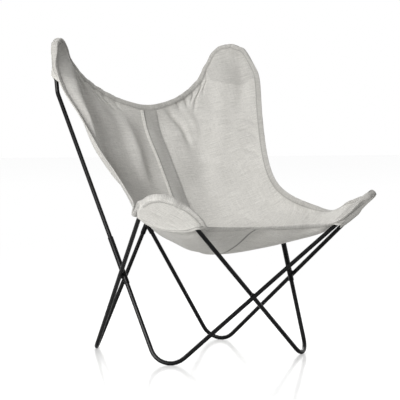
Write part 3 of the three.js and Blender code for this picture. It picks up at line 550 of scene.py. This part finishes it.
class Half:
    """One half of the sling: its smooth surface, which every piece sewn to it follows."""

    def __init__(self, name, side):
        self.name = name
        self.side = side
        self.grid = sitters_grid("sling_panel_" + name)
        self.rows = lengths_along(self.grid.swapaxes(0, 1)).mean(axis=0)
        self.columns = lengths_along(self.grid).mean(axis=0)
        self.length = self.rows[-1]
        self.width = self.columns[-1]
        self.folds = [Fold(*fold) for fold in FOLDS[name]]

    def bare(self, rows, columns):
        """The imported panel's own curve, on which the folds are laid."""
        down = spline_weights(self.rows, rows)
        across = spline_weights(self.columns, columns)
        lines = (down @ self.grid.reshape(len(self.rows), -1)).reshape(len(rows), -1, 3)
        return np.einsum("pj,pjk->pk", across, lines)

    def facing(self, rows, columns, surface=None):
        surface = surface or self.bare
        step = GRID_SPACING / 4
        up, down = (np.clip(rows + shift, 0, self.length) for shift in (-step, step))
        inner, outer = (np.clip(columns + shift, 0, self.width) for shift in (-step, step))
        along = surface(down, columns) - surface(up, columns)
        across = surface(rows, outer) - surface(rows, inner)
        return unit(np.cross(along, across) * self.side)

    def surface(self, rows, columns):
        """The cloth with its folds, which fade out at the seam, at the hems and over the rods."""
        flat = self.bare(rows, columns)
        rise = sum(fold.at(rows, columns) for fold in self.folds) + hanging_waves(rows, columns)
        edge = np.minimum(np.minimum(rows, self.length - rows), self.width - columns)
        rise *= smooth((edge - EDGE_STIFF) / EDGE_FADE) * smooth(columns / SEAM_FADE)
        room = from_rods(flat)[0] - ROD_RADIUS - 3 * CLOTH_THICKNESS
        rise = np.where(rise < 0, rise * smooth(room / ROD_FADE), rise)
        first, full, fading, gone = CENTRE_ROUND_ROWS
        swell = smooth((rows - first) / (full - first)) * smooth((gone - rows) / (gone - fading))
        rise += CENTRE_ROUND * swell * bell(columns / CENTRE_ROUND_WIDTH)
        direction = self.facing(rows, columns)
        direction[:, 0] *= smooth(columns / SEAM_FADE)
        return flat + unit(direction) * rise[:, None]

    def flat_places(self, points):
        """Where points of the sling lay on the cloth before it was sewn, for its weave."""
        profile = self.grid[:, 0, 1:]
        first = profile[0] + (profile[0] - profile[1]) * PROFILE_REACH
        last = profile[-1] + (profile[-1] - profile[-2]) * PROFILE_REACH
        profile = np.concatenate([[first], profile, [last]])
        down, away, _ = nearest_on(profile, points[:, 1:])
        across = self.side * np.hypot(points[:, 0], np.linalg.norm(away, axis=1))
        return np.stack([across, down], axis=-1)


halves = [Half("left", -1), Half("right", 1)]


# Where the panel's lines lie in the width of a hem, and in the same width beside the seam
BAND_LINES = (0, 0.3, 0.6, 0.8, 1.0)
SEAM_LINES = (0, 0.07, 0.15, 0.3, 0.6)


def spread(length, finest):
    """Places along a panel, with a line at each stitch row of the hem."""
    band = np.array(BAND_LINES) * BAND
    count = round((length - 2 * BAND) / finest)
    middle = np.linspace(BAND, length - BAND, count + 1)[1:-1]
    return np.concatenate([band, middle, length - band[::-1]])


def new_piece(name, corners, faces):
    """A smooth mesh that is fixed to the chair."""
    mesh = bpy.data.meshes.new(name)
    mesh.from_pydata(corners, [], faces)
    mesh.polygons.foreach_set("use_smooth", np.ones(len(faces), bool))
    piece = placed(name, mesh)
    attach(piece, "root")
    return piece


def sheet_mesh(name, outer, inner, cloth_places, shading=None):
    """A closed sheet between two grids of points, with its cloth places as UVs, and its painted
    shade:
    how much darker its colour is painted where it is stitched down or lies double."""
    rows, columns = outer.shape[:2]
    corners = np.concatenate([outer.reshape(-1, 3), inner.reshape(-1, 3)])
    other = rows * columns
    at = np.arange(other).reshape(rows, columns)
    a, b, c, d = at[:-1, :-1], at[:-1, 1:], at[1:, 1:], at[1:, :-1]
    front = np.stack([a, d, c, b], axis=-1).reshape(-1, 4)
    back = np.stack([a, b, c, d], axis=-1).reshape(-1, 4) + other
    loop = np.concatenate([at[0, :-1], at[:-1, -1], at[-1, :0:-1], at[:0:-1, 0]])
    following = np.roll(loop, -1)
    rim = np.stack([loop, following, following + other, loop + other], axis=-1)
    faces = np.concatenate([front, back, rim])
    piece = new_piece(name, corners.tolist(), faces.tolist())
    mesh = piece.data
    places = np.concatenate([cloth_places.reshape(-1, 2)] * 2)
    layer = mesh.uv_layers.new(name="Cloth")
    indices = np.zeros(len(mesh.loops), int)
    mesh.loops.foreach_get("vertex_index", indices)
    layer.data.foreach_set("uv", places[indices].reshape(-1))
    darker = mesh.attributes.new("Darker", "FLOAT", "POINT")
    if shading is not None:
        darker.data.foreach_set("value", np.concatenate([shading.reshape(-1)] * 2))
    shell = bmesh.new()
    shell.from_mesh(mesh)
    if shell.calc_volume(signed=True) < 0:
        bmesh.ops.reverse_faces(shell, faces=shell.faces)
    shell.to_mesh(mesh)
    shell.free()
    return piece


def dress(piece, cloth, node):
    """Gives a piece its cloth, and hides the CAD node that it stands for."""
    piece.data.materials.append(cloth)
    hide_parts(node)


CLOTH_LIGHT = linear(216, 214, 209)
CLOTH_DARK = linear(178, 176, 171)
YARN_SPACING = 0.0011
SLUB_LENGTH = 0.05
SLUB_HEIGHT = 0.0012
HEATHER_SCALE = 210.0
CLOUD_SCALE = 7.0
YARN_TONES = (0.40, 0.60)
YARN_DEPTH = 0.0002
YARN_STRENGTH = 0.5
CLOTH_DULLNESS = 0.86
HEATHER_ROUGHNESS = 0.1
# How much slubs, fine slubs, slubs along the warp, heather and clouds count in the cloth's tone
TONE_SHARES = (0.4, 0.25, 0.1, 0.15, 0.1)
WEAVE_RELIEF, SLUB_RELIEF, FINE_RELIEF = 0.5, 1.6, 0.8


def woven(name, tone=1.0):
    """Plain weave of thick and thin yarn, whose slubs run across the sling."""
    material, base = shade(name)
    cloth = base.node("UVMap", uv_map="Cloth")
    body = base.place()

    def streaks(length, height, detail):
        size = {"Vector": cloth, "Scale": (1 / length, 1 / height, 1)}
        return base.node("Mapping", size).noise(1.0, detail)

    slubs = streaks(SLUB_LENGTH, SLUB_HEIGHT, 3.0)
    fine = streaks(SLUB_LENGTH / 4, SLUB_HEIGHT / 2, 2.0)
    warp_slubs = streaks(SLUB_HEIGHT * 2, SLUB_LENGTH * 2, 2.0)
    heather = body.noise(HEATHER_SCALE, 3.0)
    cloudy = body.noise(CLOUD_SCALE, 3.0)
    parts = (slubs, fine, warp_slubs, heather, cloudy)
    mixed = sum(share * part for share, part in zip(TONE_SHARES, parts))
    least, most = YARN_TONES
    contrast = base.node("MapRange", {"Value": mixed, "From Min": least, "From Max": most})
    dark = tuple(value * tone for value in CLOTH_DARK[:3]) + (1,)
    light = tuple(value * tone for value in CLOTH_LIGHT[:3]) + (1,)
    # Painted shade: the attribute below darkens the cloth's colour towards black
    darker = base.node("Attribute", output="Fac", attribute_name="Darker")
    turns = 2 * math.pi / YARN_SPACING
    across, down = (base.node("SeparateXYZ", {0: cloth}, output=axis) for axis in "XY")
    warp, weft = (across * turns).math("SINE"), (down * turns).math("SINE")
    height = warp * weft * WEAVE_RELIEF + SLUB_RELIEF * slubs + FINE_RELIEF * fine
    sockets = {
        "Base Color": darker.blend(contrast.blend(dark, light), (0, 0, 0, 1)),
        "Roughness": CLOTH_DULLNESS + HEATHER_ROUGHNESS * heather,
        "Specular IOR Level": 0.25,
        "Sheen Weight": 0.12,
        "Sheen Roughness": 0.5,
        "Normal": height.relief(YARN_STRENGTH, YARN_DEPTH),
    }
    finish(base, sockets)
    return material


# How many steps of the grid the pockets reach down from the peaks, and how far the middle of
# their mouths hangs below a straight line
POCKET_ROWS = {"back": 7, "front": 7}
MOUTH_BOW_STEPS = {"back": 0.7, "front": 0.8}
# Painted shade: how much darker the cloth is painted where a pocket lies behind it, and along
# a row of stitches and the centre seam
DOUBLED_PAINTED_SHADE = 0.13
DOUBLED_FADE = 0.1
SEAM_PAINTED_SHADE = 0.6


def pocket_steps(half, rows, columns, end):
    """Steps of the CAD grid from a pocket's mouth towards its peak, negative outside it."""
    row = np.interp(rows, half.rows, np.arange(len(half.rows)))
    column = np.interp(columns, half.columns, np.arange(len(half.columns)))
    if end == "front":
        row = len(half.rows) - 1 - row
    out = len(half.columns) - 1 - column
    along = row / np.maximum(row + out, 1e-6)
    return POCKET_ROWS[end] - row - out + MOUTH_BOW_STEPS[end] * 4 * along * (1 - along)


panel_cloth = woven("grey slub canvas")
SEAM_DIP_WIDTH = 0.0025
SEAM_DIP_SHARE = 0.85
for half in halves:
    rows = spread(half.length, GRID_SPACING)
    columns = spread(half.width, GRID_SPACING)[len(BAND_LINES) - 1 :]
    columns = np.concatenate([np.array(SEAM_LINES) * BAND, columns])
    over_rows, over_columns = np.meshgrid(rows, columns, indexing="ij")
    over_rows, over_columns = over_rows.reshape(-1), over_columns.reshape(-1)
    shape = (len(rows), len(columns))
    sitters = half.surface(over_rows, over_columns)
    sheet = sitters.reshape(*shape, 3)
    normals = np.cross(np.gradient(sheet, axis=0), np.gradient(sheet, axis=1)) * half.side
    normals = unit(normals).reshape(-1, 3)
    # Underneath, the two halves dip into the seam
    dip = bell(over_columns / SEAM_DIP_WIDTH) * SEAM_DIP_SHARE
    under = sitters - normals * (CLOTH_THICKNESS * (1 - dip))[:, None]
    places = half.flat_places(sitters).reshape(*shape, 2)
    steps = [pocket_steps(half, over_rows, over_columns, end) for end in POCKET_ROWS]
    # Painted shade where a pocket lies behind the panel, and a painted shade line along the centre
    # seam
    doubled = smooth(np.maximum(*steps) / DOUBLED_FADE + 0.5) * DOUBLED_PAINTED_SHADE
    doubled = np.where(over_columns < SEAM_DIP_WIDTH, SEAM_PAINTED_SHADE, doubled)
    under = under.reshape(*shape, 3)
    panel = sheet_mesh("panel_" + half.name, sheet, under, places, doubled)
    dress(panel, panel_cloth, "sling_panel_" + half.name)


# The pockets: a second layer behind each peak, sewn to the panel along the hems and open towards
# the middle of the sling. The bent rod of the frame stands inside and carries the sling's weight.
ROD_CLEARANCE = 0.0065
RIM_REACH = 0.0145
RIM_FADE = 0.01
# Over how many steps of the grid a pocket opens at its mouth, and how far outside it that starts
MOUTH_STEPS = 1.0
MOUTH_LEAD = 0.4
LEAST_SLANT = 0.35
LAYER_GAP = 0.0003
POCKET_FADE = 0.035
# Rings of a rod's bend lie closer together than this
BEND_SPACING = 0.025


def off_rods(points, clearance):
    """Points pushed out of the rods and their clearance."""
    distance, away = from_rods(points)
    return points + away * np.maximum(clearance - distance, 0)[:, None]


class Tip:
    """The bend of rod inside a peak of the sling, with its plane and its two legs."""

    def __init__(self, node, near):
        centres, beside = rods[node]
        crest = min(centres, key=lambda k: np.linalg.norm(centres[k] - near))
        arc = [crest]
        legs = []
        for follower in beside[crest]:
            before, here = crest, follower
            while np.linalg.norm(centres[here] - centres[before]) < BEND_SPACING:
                arc.append(here)
                before, here = here, next(k for k in beside[here] if k != before)
            legs.append(unit(centres[here] - centres[before]))
        points = np.array([centres[k] for k in arc])
        middle = points.mean(axis=0)
        axes = np.linalg.svd(points - middle)[2]
        self.normal = axes[2] * (-1 if axes[2][2] > 0 else 1)
        flat = (points - middle) @ axes[:2].T
        equations = np.column_stack([2 * flat, np.ones(len(flat))])
        fit = np.linalg.lstsq(equations, (flat**2).sum(axis=1), rcond=None)[0]
        self.centre = middle + fit[:2] @ axes[:2]
        self.radius = math.sqrt(fit[2] + fit[0] ** 2 + fit[1] ** 2)
        self.legs = np.array(legs)
        # The way out from each leg, square to it, on the side away from the other leg
        self.outward = unit(self.legs * (self.legs[0] @ self.legs[1]) - self.legs[::-1])

    def seen(self, points):
        """Depth behind the bend's plane, and how far outside the rod's centre line."""
        depth = (points - self.centre) @ self.normal
        flat = points - self.centre - depth[:, None] * self.normal
        beyond = ((flat @ self.legs.T) < 0).all(axis=1)
        beside = (flat @ self.outward.T).max(axis=1)
        return depth, np.where(beyond, np.linalg.norm(flat, axis=1), beside) - self.radius

    def behind(self, points, facing, inset, steps, pocketed=1.0):
        """The pocket's own layer behind points of the panel, at an inset from the hem's edge."""
        depth, outside = self.seen(points)
        slant = np.maximum(-facing @ self.normal, LEAST_SLANT)
        tight = depth + (CLOTH_THICKNESS + LAYER_GAP) / slant
        opening = smooth((steps + MOUTH_LEAD) / MOUTH_STEPS)
        round_rod = smooth((RIM_REACH - outside) / RIM_FADE) * opening
        opened = smooth(inset / BAND) * pocketed
        share = np.maximum(round_rod, opened)
        share = share * (1 - smooth((outside - 2 * ROD_RADIUS) / POCKET_FADE))
        level = np.maximum(tight + (ROD_CLEARANCE - tight) * share, tight)
        return off_rods(points + (level - depth)[:, None] * self.normal, ROD_CLEARANCE)


for half in halves:
    # The rod in a front peak comes from the other side of the chair
    half.front_rod = "lower_rod_" + "ab"[half.side < 0]
    half.tips = {
        "back": Tip("back_arm_" + half.name, half.grid[0, -1]),
        "front": Tip(half.front_rod, half.grid[-1, -1]),
    }


# The pockets' cloth is painted a little lighter than the panels', at 1.02 of its tone: painted
# light
pocket_cloth = woven("grey slub canvas, pocket", tone=1.02)
POCKET_LINES = 44
# The lines lie closer together near the mouth, by this power
MOUTH_CROWDING = 1.5
MOUTH_SAG = 0.003
MOUTH_SAG_LENGTH = 0.04
MOUTH_SAG_INSET = 0.03
MOUTH_FOLD = 0.011
MOUTH_FOLD_EDGE = 0.0015
MOUTH_STITCHES = 0.0085
GROOVE_WIDTH = 0.001
GROOVE_SHARE = 0.6
# Steps of the grid between the last line and the end of the mouth
SHORT_OF_END = 0.14
# Points at each end of the mouth that the stitches leave out
UNSTITCHED = 3
pockets = []
mouth_lines = {}
for half in halves:
    for end in ("back", "front"):
        steps = POCKET_ROWS[end]
        last_row = len(half.rows) - 1
        last_column = len(half.columns) - 1
        lines = np.linspace(0, steps - SHORT_OF_END, POCKET_LINES + 1)
        inwards = np.linspace(0, 1, POCKET_LINES + 1) ** MOUTH_CROWDING
        row_index, inward = np.meshgrid(lines, inwards, indexing="ij")
        # Each line runs from the mouth to the side hem, one line further round the peak
        bow = MOUTH_BOW_STEPS[end] * 4 * row_index / steps * (1 - row_index / steps)
        run = steps - row_index + bow
        column_index = last_column - run * (1 - inward)
        from_mouth = (run * inward).reshape(-1) * half.width / last_column
        if end == "front":
            row_index = last_row - row_index
        rows = np.interp(row_index, np.arange(last_row + 1), half.rows).reshape(-1)
        columns = np.interp(column_index, np.arange(last_column + 1), half.columns).reshape(-1)
        inset = np.minimum(np.minimum(rows, half.length - rows), half.width - columns)
        sitters = half.surface(rows, columns)
        facing = half.facing(rows, columns)
        tip = half.tips[end]
        sag = MOUTH_SAG * (1 - smooth(from_mouth / MOUTH_SAG_LENGTH))
        sag = sag * smooth(inset / MOUTH_SAG_INSET)
        outer = tip.behind(sitters, facing, inset, pocket_steps(half, rows, columns, end))
        outer = outer + sag[:, None] * tip.normal
        # The mouth is folded over once and stitched down
        doubled = 1 - smooth((from_mouth - MOUTH_FOLD) / MOUTH_FOLD_EDGE)
        groove = bell((from_mouth - MOUTH_STITCHES) / GROOVE_WIDTH)
        thick = CLOTH_THICKNESS * (1 + doubled * (1 - GROOVE_SHARE * groove))
        shape = row_index.shape
        places = half.flat_places(sitters).reshape(*shape, 2)
        lower = outer + thick[:, None] * tip.normal
        depths = inwards * steps * half.width / last_column
        stitched = int(np.abs(depths - MOUTH_STITCHES).argmin())
        # Painted shade along the row of stitches near the mouth
        painted_shade = np.zeros(shape)
        painted_shade[:, stitched] = SEAM_PAINTED_SHADE
        outer, lower = outer.reshape(*shape, 3), lower.reshape(*shape, 3)
        name = end + "_" + half.name
        pocket = sheet_mesh("pocket_cloth_" + name, outer, lower, places, painted_shade)
        mouth_lines[name] = (lower[UNSTITCHED:-UNSTITCHED, stitched], tip)
        dress(pocket, pocket_cloth, "pocket_" + name)
        down = half.rows[steps] if end == "back" else half.length - half.rows[last_row - steps]
        across = half.width - half.columns[last_column - steps]
        bowed = MOUTH_BOW_STEPS[end] * 2 / 3 * across / steps * down
        pockets.append((pocket, half, end, (across, down), across * down / 2 + bowed))


# The hems: a band of the same cloth folded over each edge and stitched down near its inner side.
# Round the peaks the band also closes the pocket, and the rod inside makes it stand out.
HEM_SPACING = 0.0024
HEM_WALL = 0.0009
HEM_LIFT = 0.0002
HEM_ROUND = 0.0014
HEM_CLEARANCE = 0.0016
ROD_ROUND_SHARE = 0.05
# Lines along each leg of the band: the share of its width in from the edge, and how many walls
# high the cloth stands there
LEG_LINES = [(1, 0.5), (0.93, 1.2), (0.86, 1.3), (0.79, 0.35), (0.72, 1.3), (0.5, 1.8)]
LEG_LINES += [(0.25, 1.7), (0, 1.3)]
STITCH_LEG = 3
# Painted shade over the band's leg on the sitter's side
SITTERS_LEG_PAINTED_SHADE = 0.1
ROUND_ANGLES = [math.radians(angle) for angle in (70, 45, 20, 0, -20, -45, -70)]
LEAST_LEG_SHARE = 0.6
EVEN_STATIONS = 5
FINE_PLACES = 400
SLOPE_TRIES = 8
# In steps of the grid, where the hem's back leg leaves the panel for the pocket, and how gently
POCKETED_FROM, POCKETED_OVER = -0.05, 0.4
LAYER_FROM, LAYER_OVER = -0.25, 0.6
PUCKER_PITCH = 0.0072
PUCKERS = 4000
PUCKER_SHARE = 0.5
END_SEEDS = {"back": 11, "front": 12}
SIDE_SEEDS = (12, 14)


class HemLine:
    """Stations along one half's share of a hem: where the band's two legs lie on the cloth."""

    def __init__(self, half, edge):
        self.half = half
        if edge == "side":
            rows = np.linspace(0, half.length, FINE_PLACES)
            columns = np.full(FINE_PLACES, half.width)
        else:
            rows = np.full(FINE_PLACES, 0.0 if edge == "back" else half.length)
            columns = np.linspace(0, half.width, FINE_PLACES)
        line = half.surface(rows, columns)
        length = lengths_along(line)
        self.along = np.linspace(0, length[-1], round(length[-1] / HEM_SPACING) + 1)
        self.rows = np.interp(self.along, length, rows)
        self.columns = np.interp(self.along, length, columns)
        self.band_rows = np.clip(self.rows, BAND, half.length - BAND)
        self.band_columns = np.minimum(self.columns, half.width - BAND)

    def place(self, share):
        """The cloth at a share of the band's width in from the edge, and the way it faces."""
        rows = self.rows + (self.band_rows - self.rows) * share
        columns = self.columns + (self.band_columns - self.columns) * share
        return self.half.surface(rows, columns), self.half.facing(rows, columns, self.half.surface)

    def underneath(self, share, steps):
        """The back of the sling there, over the pockets' own layer, and the way that faces."""
        sitters, facing = self.place(share)
        cloth = sitters - facing * CLOTH_THICKNESS
        outward = -facing
        for end, own_steps in steps.items():
            tip = self.half.tips[end]
            pocketed = smooth((own_steps - POCKETED_FROM) / POCKETED_OVER)
            layer = tip.behind(sitters, facing, share * BAND, own_steps, pocketed)
            layer = layer + tip.normal * CLOTH_THICKNESS
            inside = smooth((own_steps - LAYER_FROM) / LAYER_OVER)[:, None]
            cloth = cloth * (1 - inside) + layer * inside
            outward = unit(outward * (1 - inside) + tip.normal * inside)
        return cloth, outward

    def legs(self, pucker):
        """The walls of the band's two legs, inner and outer, line by line from its inner side."""
        steps = {
            end: pocket_steps(self.half, self.rows, self.columns, end) for end in self.half.tips
        }
        from_mouth = np.abs(np.maximum(steps["back"], steps["front"]))
        width = BAND * np.clip(from_mouth / MOUTH_STEPS, LEAST_LEG_SHARE, 1)
        # The back leg is as wide as the front one, measured along the pocket's slope
        tries = np.linspace(0, 1, SLOPE_TRIES)
        slope = np.stack([self.underneath(share, steps)[0] for share in tries], axis=1)
        lengths = lengths_along(slope)
        front, back = [], []
        for share, height in LEG_LINES:
            wanted = np.minimum(share * width, lengths[:, -1])
            sunk = np.array([np.interp(w, row, tries) for w, row in zip(wanted, lengths)])
            for leg, (cloth, facing) in (
                (front, self.place(share)),
                (back, self.underneath(sunk, steps)),
            ):
                puffy = 1 + pucker(self.along, leg is front) * math.sin(math.pi * share)
                lift = HEM_LIFT + HEM_WALL * height * puffy[:, None]
                leg.append((cloth + facing * HEM_LIFT, cloth + facing * lift))
        return front, back

    def evened(self, points, base):
        """Points whose offsets from a base line change little by little along it."""
        room = 3 * EVEN_STATIONS
        weights = np.exp(-((np.arange(-room, room + 1) / EVEN_STATIONS) ** 2) / 2)
        around = ((room, room), (0, 0))
        padded = np.pad(points - base, around, mode="reflect", reflect_type="odd")
        evened = [np.convolve(padded[:, k], weights / weights.sum(), "valid") for k in range(3)]
        return base + np.stack(evened, axis=1)

    def rings(self, pucker):
        """Outer and inner wall of the folded band at each station."""
        front, back = self.legs(pucker)
        inner_side = front[0][0]
        back = [tuple(self.evened(wall, inner_side) for wall in leg) for leg in back]
        across = unit(front[-1][0] - inner_side)
        gap = unit(front[-1][1] - back[-1][1])
        outward = unit(across - (across * gap).sum(axis=1)[:, None] * gap)
        walls = []
        for wall in (1, 0):
            first = [leg[wall] for leg in front]
            last = [leg[wall] for leg in back][::-1]
            middle = (first[-1] + last[0]) / 2
            half_gap = np.linalg.norm(first[-1] - last[0], axis=1)[:, None] / 2
            bulge = half_gap * ROD_ROUND_SHARE + (HEM_ROUND + HEM_WALL if wall else HEM_ROUND)
            turned = [
                middle
                + (first[-1] - middle) * math.sin(angle)
                + outward * bulge * math.cos(angle)
                for angle in ROUND_ANGLES
            ]
            clear = ROD_RADIUS + HEM_CLEARANCE + HEM_WALL * wall
            turned = [self.evened(off_rods(points, clear), inner_side) for points in turned]
            walls.append(np.stack(first + turned + last, axis=1))
        return walls


def pucker_of(seed):
    """Small bulges of the band between its stitches, uneven along its length."""
    dice = np.random.default_rng(seed)
    bumps = dice.uniform(-1, 1, (2, PUCKERS))

    def pucker(along, front):
        place = np.abs(along) / PUCKER_PITCH
        base = np.floor(place).astype(int)
        row = bumps[int(front)]
        share = smooth(place - base)
        bump = row[base % PUCKERS] * (1 - share) + row[(base + 1) % PUCKERS] * share
        return PUCKER_SHARE * bump

    return pucker


# The hems' cloth is painted darker than the panels', at 0.89 of its tone: painted shade of the
# doubled band
hem_cloth = woven("grey slub canvas, hem", tone=0.89)
hems = {}
stitch_rows = {}


def sew_hem(name, outer, inner, along):
    """A closed band from its outer and inner walls, one ring to a station."""
    stitched = [STITCH_LEG, -1 - STITCH_LEG]
    painted_shade = np.zeros(outer.shape[:2])
    # Painted shade over the sitter's leg of the band
    painted_shade[:, : len(LEG_LINES)] = SITTERS_LEG_PAINTED_SHADE
    # Painted shade along both rows of stitches
    painted_shade[:, stitched] = SEAM_PAINTED_SHADE
    along = np.repeat(along[:, None], outer.shape[1], axis=1)
    places = np.stack([lengths_along(outer), along], axis=-1)
    hems[name] = sheet_mesh("hem_band_" + name, outer, inner, places, painted_shade)
    stitch_rows[name] = [(outer[:, k], unit(outer[:, k] - inner[:, k])) for k in stitched]
    dress(hems[name], hem_cloth, "hem_" + name)


# The bulges of a left share are taken from further along the same draw
LEFT_PUCKERS = 4
for end, seed in END_SEEDS.items():
    left, right = (HemLine(half, end) for half in halves)
    pucker = pucker_of(seed)
    left_walls = left.rings(lambda along, front: pucker(along + LEFT_PUCKERS, front))
    right_walls = right.rings(pucker)
    walls = []
    for left_wall, right_wall in zip(left_walls, right_walls):
        joined = (left_wall[0] + right_wall[0]) / 2
        joined[:, 0] = 0
        walls.append(np.concatenate([left_wall[:0:-1], joined[None], right_wall[1:]]))
    sew_hem(end, *walls, np.concatenate([-left.along[:0:-1], right.along]))
for half, seed in zip(halves, SIDE_SEEDS):
    line = HemLine(half, "side")
    sew_hem("side_" + half.name, *line.rings(pucker_of(seed)), line.along)


# The stitches: thick grey thread in long stitches along the inner side of each hem, front and back,
# along the pockets' mouths and down both sides of the strip.
STITCH_PITCH = 0.0058
STITCH_LENGTH = 0.0044
THREAD_RADIUS = 0.00032
THREAD_SIDES = 6
# Places along a stitch, and how thick the thread is there and how far it stands out of its holes
STITCH_SHAPE = [(0, 0.3, -0.9), (0.12, 0.9, 0.1), (0.5, 1, 0.5), (0.88, 0.9, 0.1), (1, 0.3, -0.9)]
THREAD_GREY = linear(150, 148, 143)
THREAD_LIGHT = linear(186, 184, 179)
FIBRE_SCALE = 1400.0
FIBRE_DEPTH = 0.0001
FIBRE_STRENGTH = 0.4
FIBRE_ROUGHNESS = 0.2
THREAD_DULLNESS = 0.5

thread, base = shade("waxed grey thread")
fibres = base.place().noise(FIBRE_SCALE, 2.0)
sockets = {
    "Base Color": fibres.blend(THREAD_GREY, THREAD_LIGHT),
    "Roughness": THREAD_DULLNESS + FIBRE_ROUGHNESS * fibres,
    "Specular IOR Level": 0.3,
    "Normal": fibres.relief(FIBRE_STRENGTH, FIBRE_DEPTH),
}
finish(base, sockets)


def stitches(name, rows):
    """One mesh of all the stitches along rows of points; each row has its own outward side."""
    corners, faces = [], []
    for line, outward in rows:
        length = lengths_along(line)
        starts = np.arange(int(length[-1] / STITCH_PITCH)) * STITCH_PITCH

        def at(places, values):
            return np.stack([np.interp(places, length, values[:, k]) for k in range(3)], axis=1)

        sections = []
        for share, thickness, rise in STITCH_SHAPE:
            places = starts + share * STITCH_LENGTH
            out = unit(at(places, outward))
            run = at(places + STITCH_LENGTH / 2, line) - at(places - STITCH_LENGTH / 2, line)
            side = unit(np.cross(out, run))
            middle = at(places, line) + out * THREAD_RADIUS * rise
            for corner in range(THREAD_SIDES):
                angle = 2 * math.pi * corner / THREAD_SIDES
                spoke = side * math.cos(angle) + out * math.sin(angle)
                sections.append(middle + spoke * THREAD_RADIUS * thickness)
        for stitch in np.stack(sections, axis=1):
            first, last = len(corners), len(corners) + len(stitch)
            corners.extend(stitch.tolist())
            for ring in range(first, last - THREAD_SIDES, THREAD_SIDES):
                for corner in range(THREAD_SIDES):
                    a, b = ring + corner, ring + (corner + 1) % THREAD_SIDES
                    faces.append((a, a + THREAD_SIDES, b + THREAD_SIDES, b))
            faces.append(tuple(range(first, first + THREAD_SIDES)))
            faces.append(tuple(range(last - 1, last - 1 - THREAD_SIDES, -1)))
    piece = new_piece(name, corners, faces)
    piece.data.materials.append(thread)
    return piece


threads = {}
for name, pair in stitch_rows.items():
    threads[name] = stitches("stitches_hem_" + name, pair)
for name, (line, tip) in mouth_lines.items():
    facing = np.tile(tip.normal, (len(line), 1))
    threads[name] = stitches("stitches_pocket_" + name, [(line, facing)])


# The strip: a doubled band of the same cloth over the centre seam, stitched down along both sides.
# The seam's allowances lie under it and make a firm ridge along its left side.
STRIP_HALF_WIDTH = 0.027
STRIP_HEIGHT = 0.0019
STRIP_LIFT = 0.0006
STRIP_EDGE = 0.0016
RIDGE_HEIGHT = 0.0026
RIDGE_PLACE = -0.021
RIDGE_WIDTH = 0.0024
# The ridge's small bulges: their share of its height, and their lengths along and across it
RIDGE_BULGE = 0.35
RIDGE_TWIST = 0.0062
RIDGE_SLANT = 0.004
STITCH_INSET = 0.0235
STITCH_DIP_WIDTH = 0.0012
STITCH_DIP = 0.5
# Painted shade over the doubled strip; the ridge, which catches the light, keeps the cloth's own
# tone
STRIP_PAINTED_SHADE = 0.3
STRIP_SPACING = 0.0015
SHORT_OF_HEM = 0.001
# Where the strip's lines lie across it, in millimetres
strip_across = MM * np.array(
    [-27, -26.4, -25.4, -24.4, -23.5, -22.6, -21.6, -20.4, -19.2, -18, -15, -10, -5, 0, 5, 10]
    + [14, 18, 20.5, 22, 22.8, 23.5, 24.2, 25.2, 26.4, 27]
)
reference = halves[1]
from_edge = BAND + SHORT_OF_HEM
strip_rows = np.arange(from_edge, reference.length - from_edge, STRIP_SPACING)


def strip_height(across, along):
    """How high the strip stands over the panels, with its stitched sides and its ridge."""
    edge = smooth((STRIP_HALF_WIDTH - np.abs(across)) / STRIP_EDGE)
    stitched = bell((np.abs(across) - STITCH_INSET) / STITCH_DIP_WIDTH)
    turns = along / RIDGE_TWIST + across / RIDGE_SLANT
    twist = 1 + RIDGE_BULGE * np.sin(2 * math.pi * turns)
    ridge = bell((across - RIDGE_PLACE) / RIDGE_WIDTH) * twist
    band = STRIP_HEIGHT * edge * (1 - STITCH_DIP * stitched)
    return STRIP_LIFT + band + RIDGE_HEIGHT * ridge * edge


strip_points, strip_under, strip_places = [], [], []
for across in strip_across:
    half = halves[int(across > 0)]
    columns = np.full(len(strip_rows), abs(across))
    rows = strip_rows * half.length / reference.length
    cloth = half.surface(rows, columns)
    facing = half.facing(rows, columns, half.surface)
    if across == 0:
        cloth[:, 0] = 0
        facing[:, 0] = 0
    height = strip_height(np.full(len(rows), across), strip_rows)
    strip_points.append(cloth + facing * height[:, None])
    strip_under.append(cloth + facing * LAYER_GAP)
    strip_places.append(np.stack([np.full(len(rows), across), strip_rows], axis=-1))
# Painted shade over the strip from its ridge rightwards, fading out on the ridge itself, and a
# painted shade line along the right row of stitches
on_ridge = bell((strip_across - RIDGE_PLACE) / RIDGE_WIDTH)
darker = STRIP_PAINTED_SHADE * (1 - on_ridge) * (strip_across > RIDGE_PLACE - RIDGE_WIDTH)
darker[np.abs(strip_across - STITCH_INSET).argmin()] = SEAM_PAINTED_SHADE
painted_shade = np.tile(darker, (len(strip_rows), 1))
strip = sheet_mesh(
    "strip_over_seam",
    np.stack(strip_points, axis=1),
    np.stack(strip_under, axis=1),
    np.stack(strip_places, axis=1),
    painted_shade,
)
dress(strip, woven("grey slub canvas, strip"), "seam_strip")

side_rows = []
for place in (-STITCH_INSET, STITCH_INSET):
    index = int(np.abs(strip_across - place).argmin())
    side_rows.append((strip_points[index], unit(strip_points[index] - strip_under[index])))
threads["strip"] = stitches("stitches_strip", side_rows)


# Each pocket, a corner of a rectangle between two hems and its mouth: its rod and its stitches are
# looked up here and not used further. The rods inside the peaks carry them all.
for pocket, half, end, flat, area in pockets:
    half.front_rod if end == "front" else "back_arm_" + half.name
    threads[end + "_" + half.name]
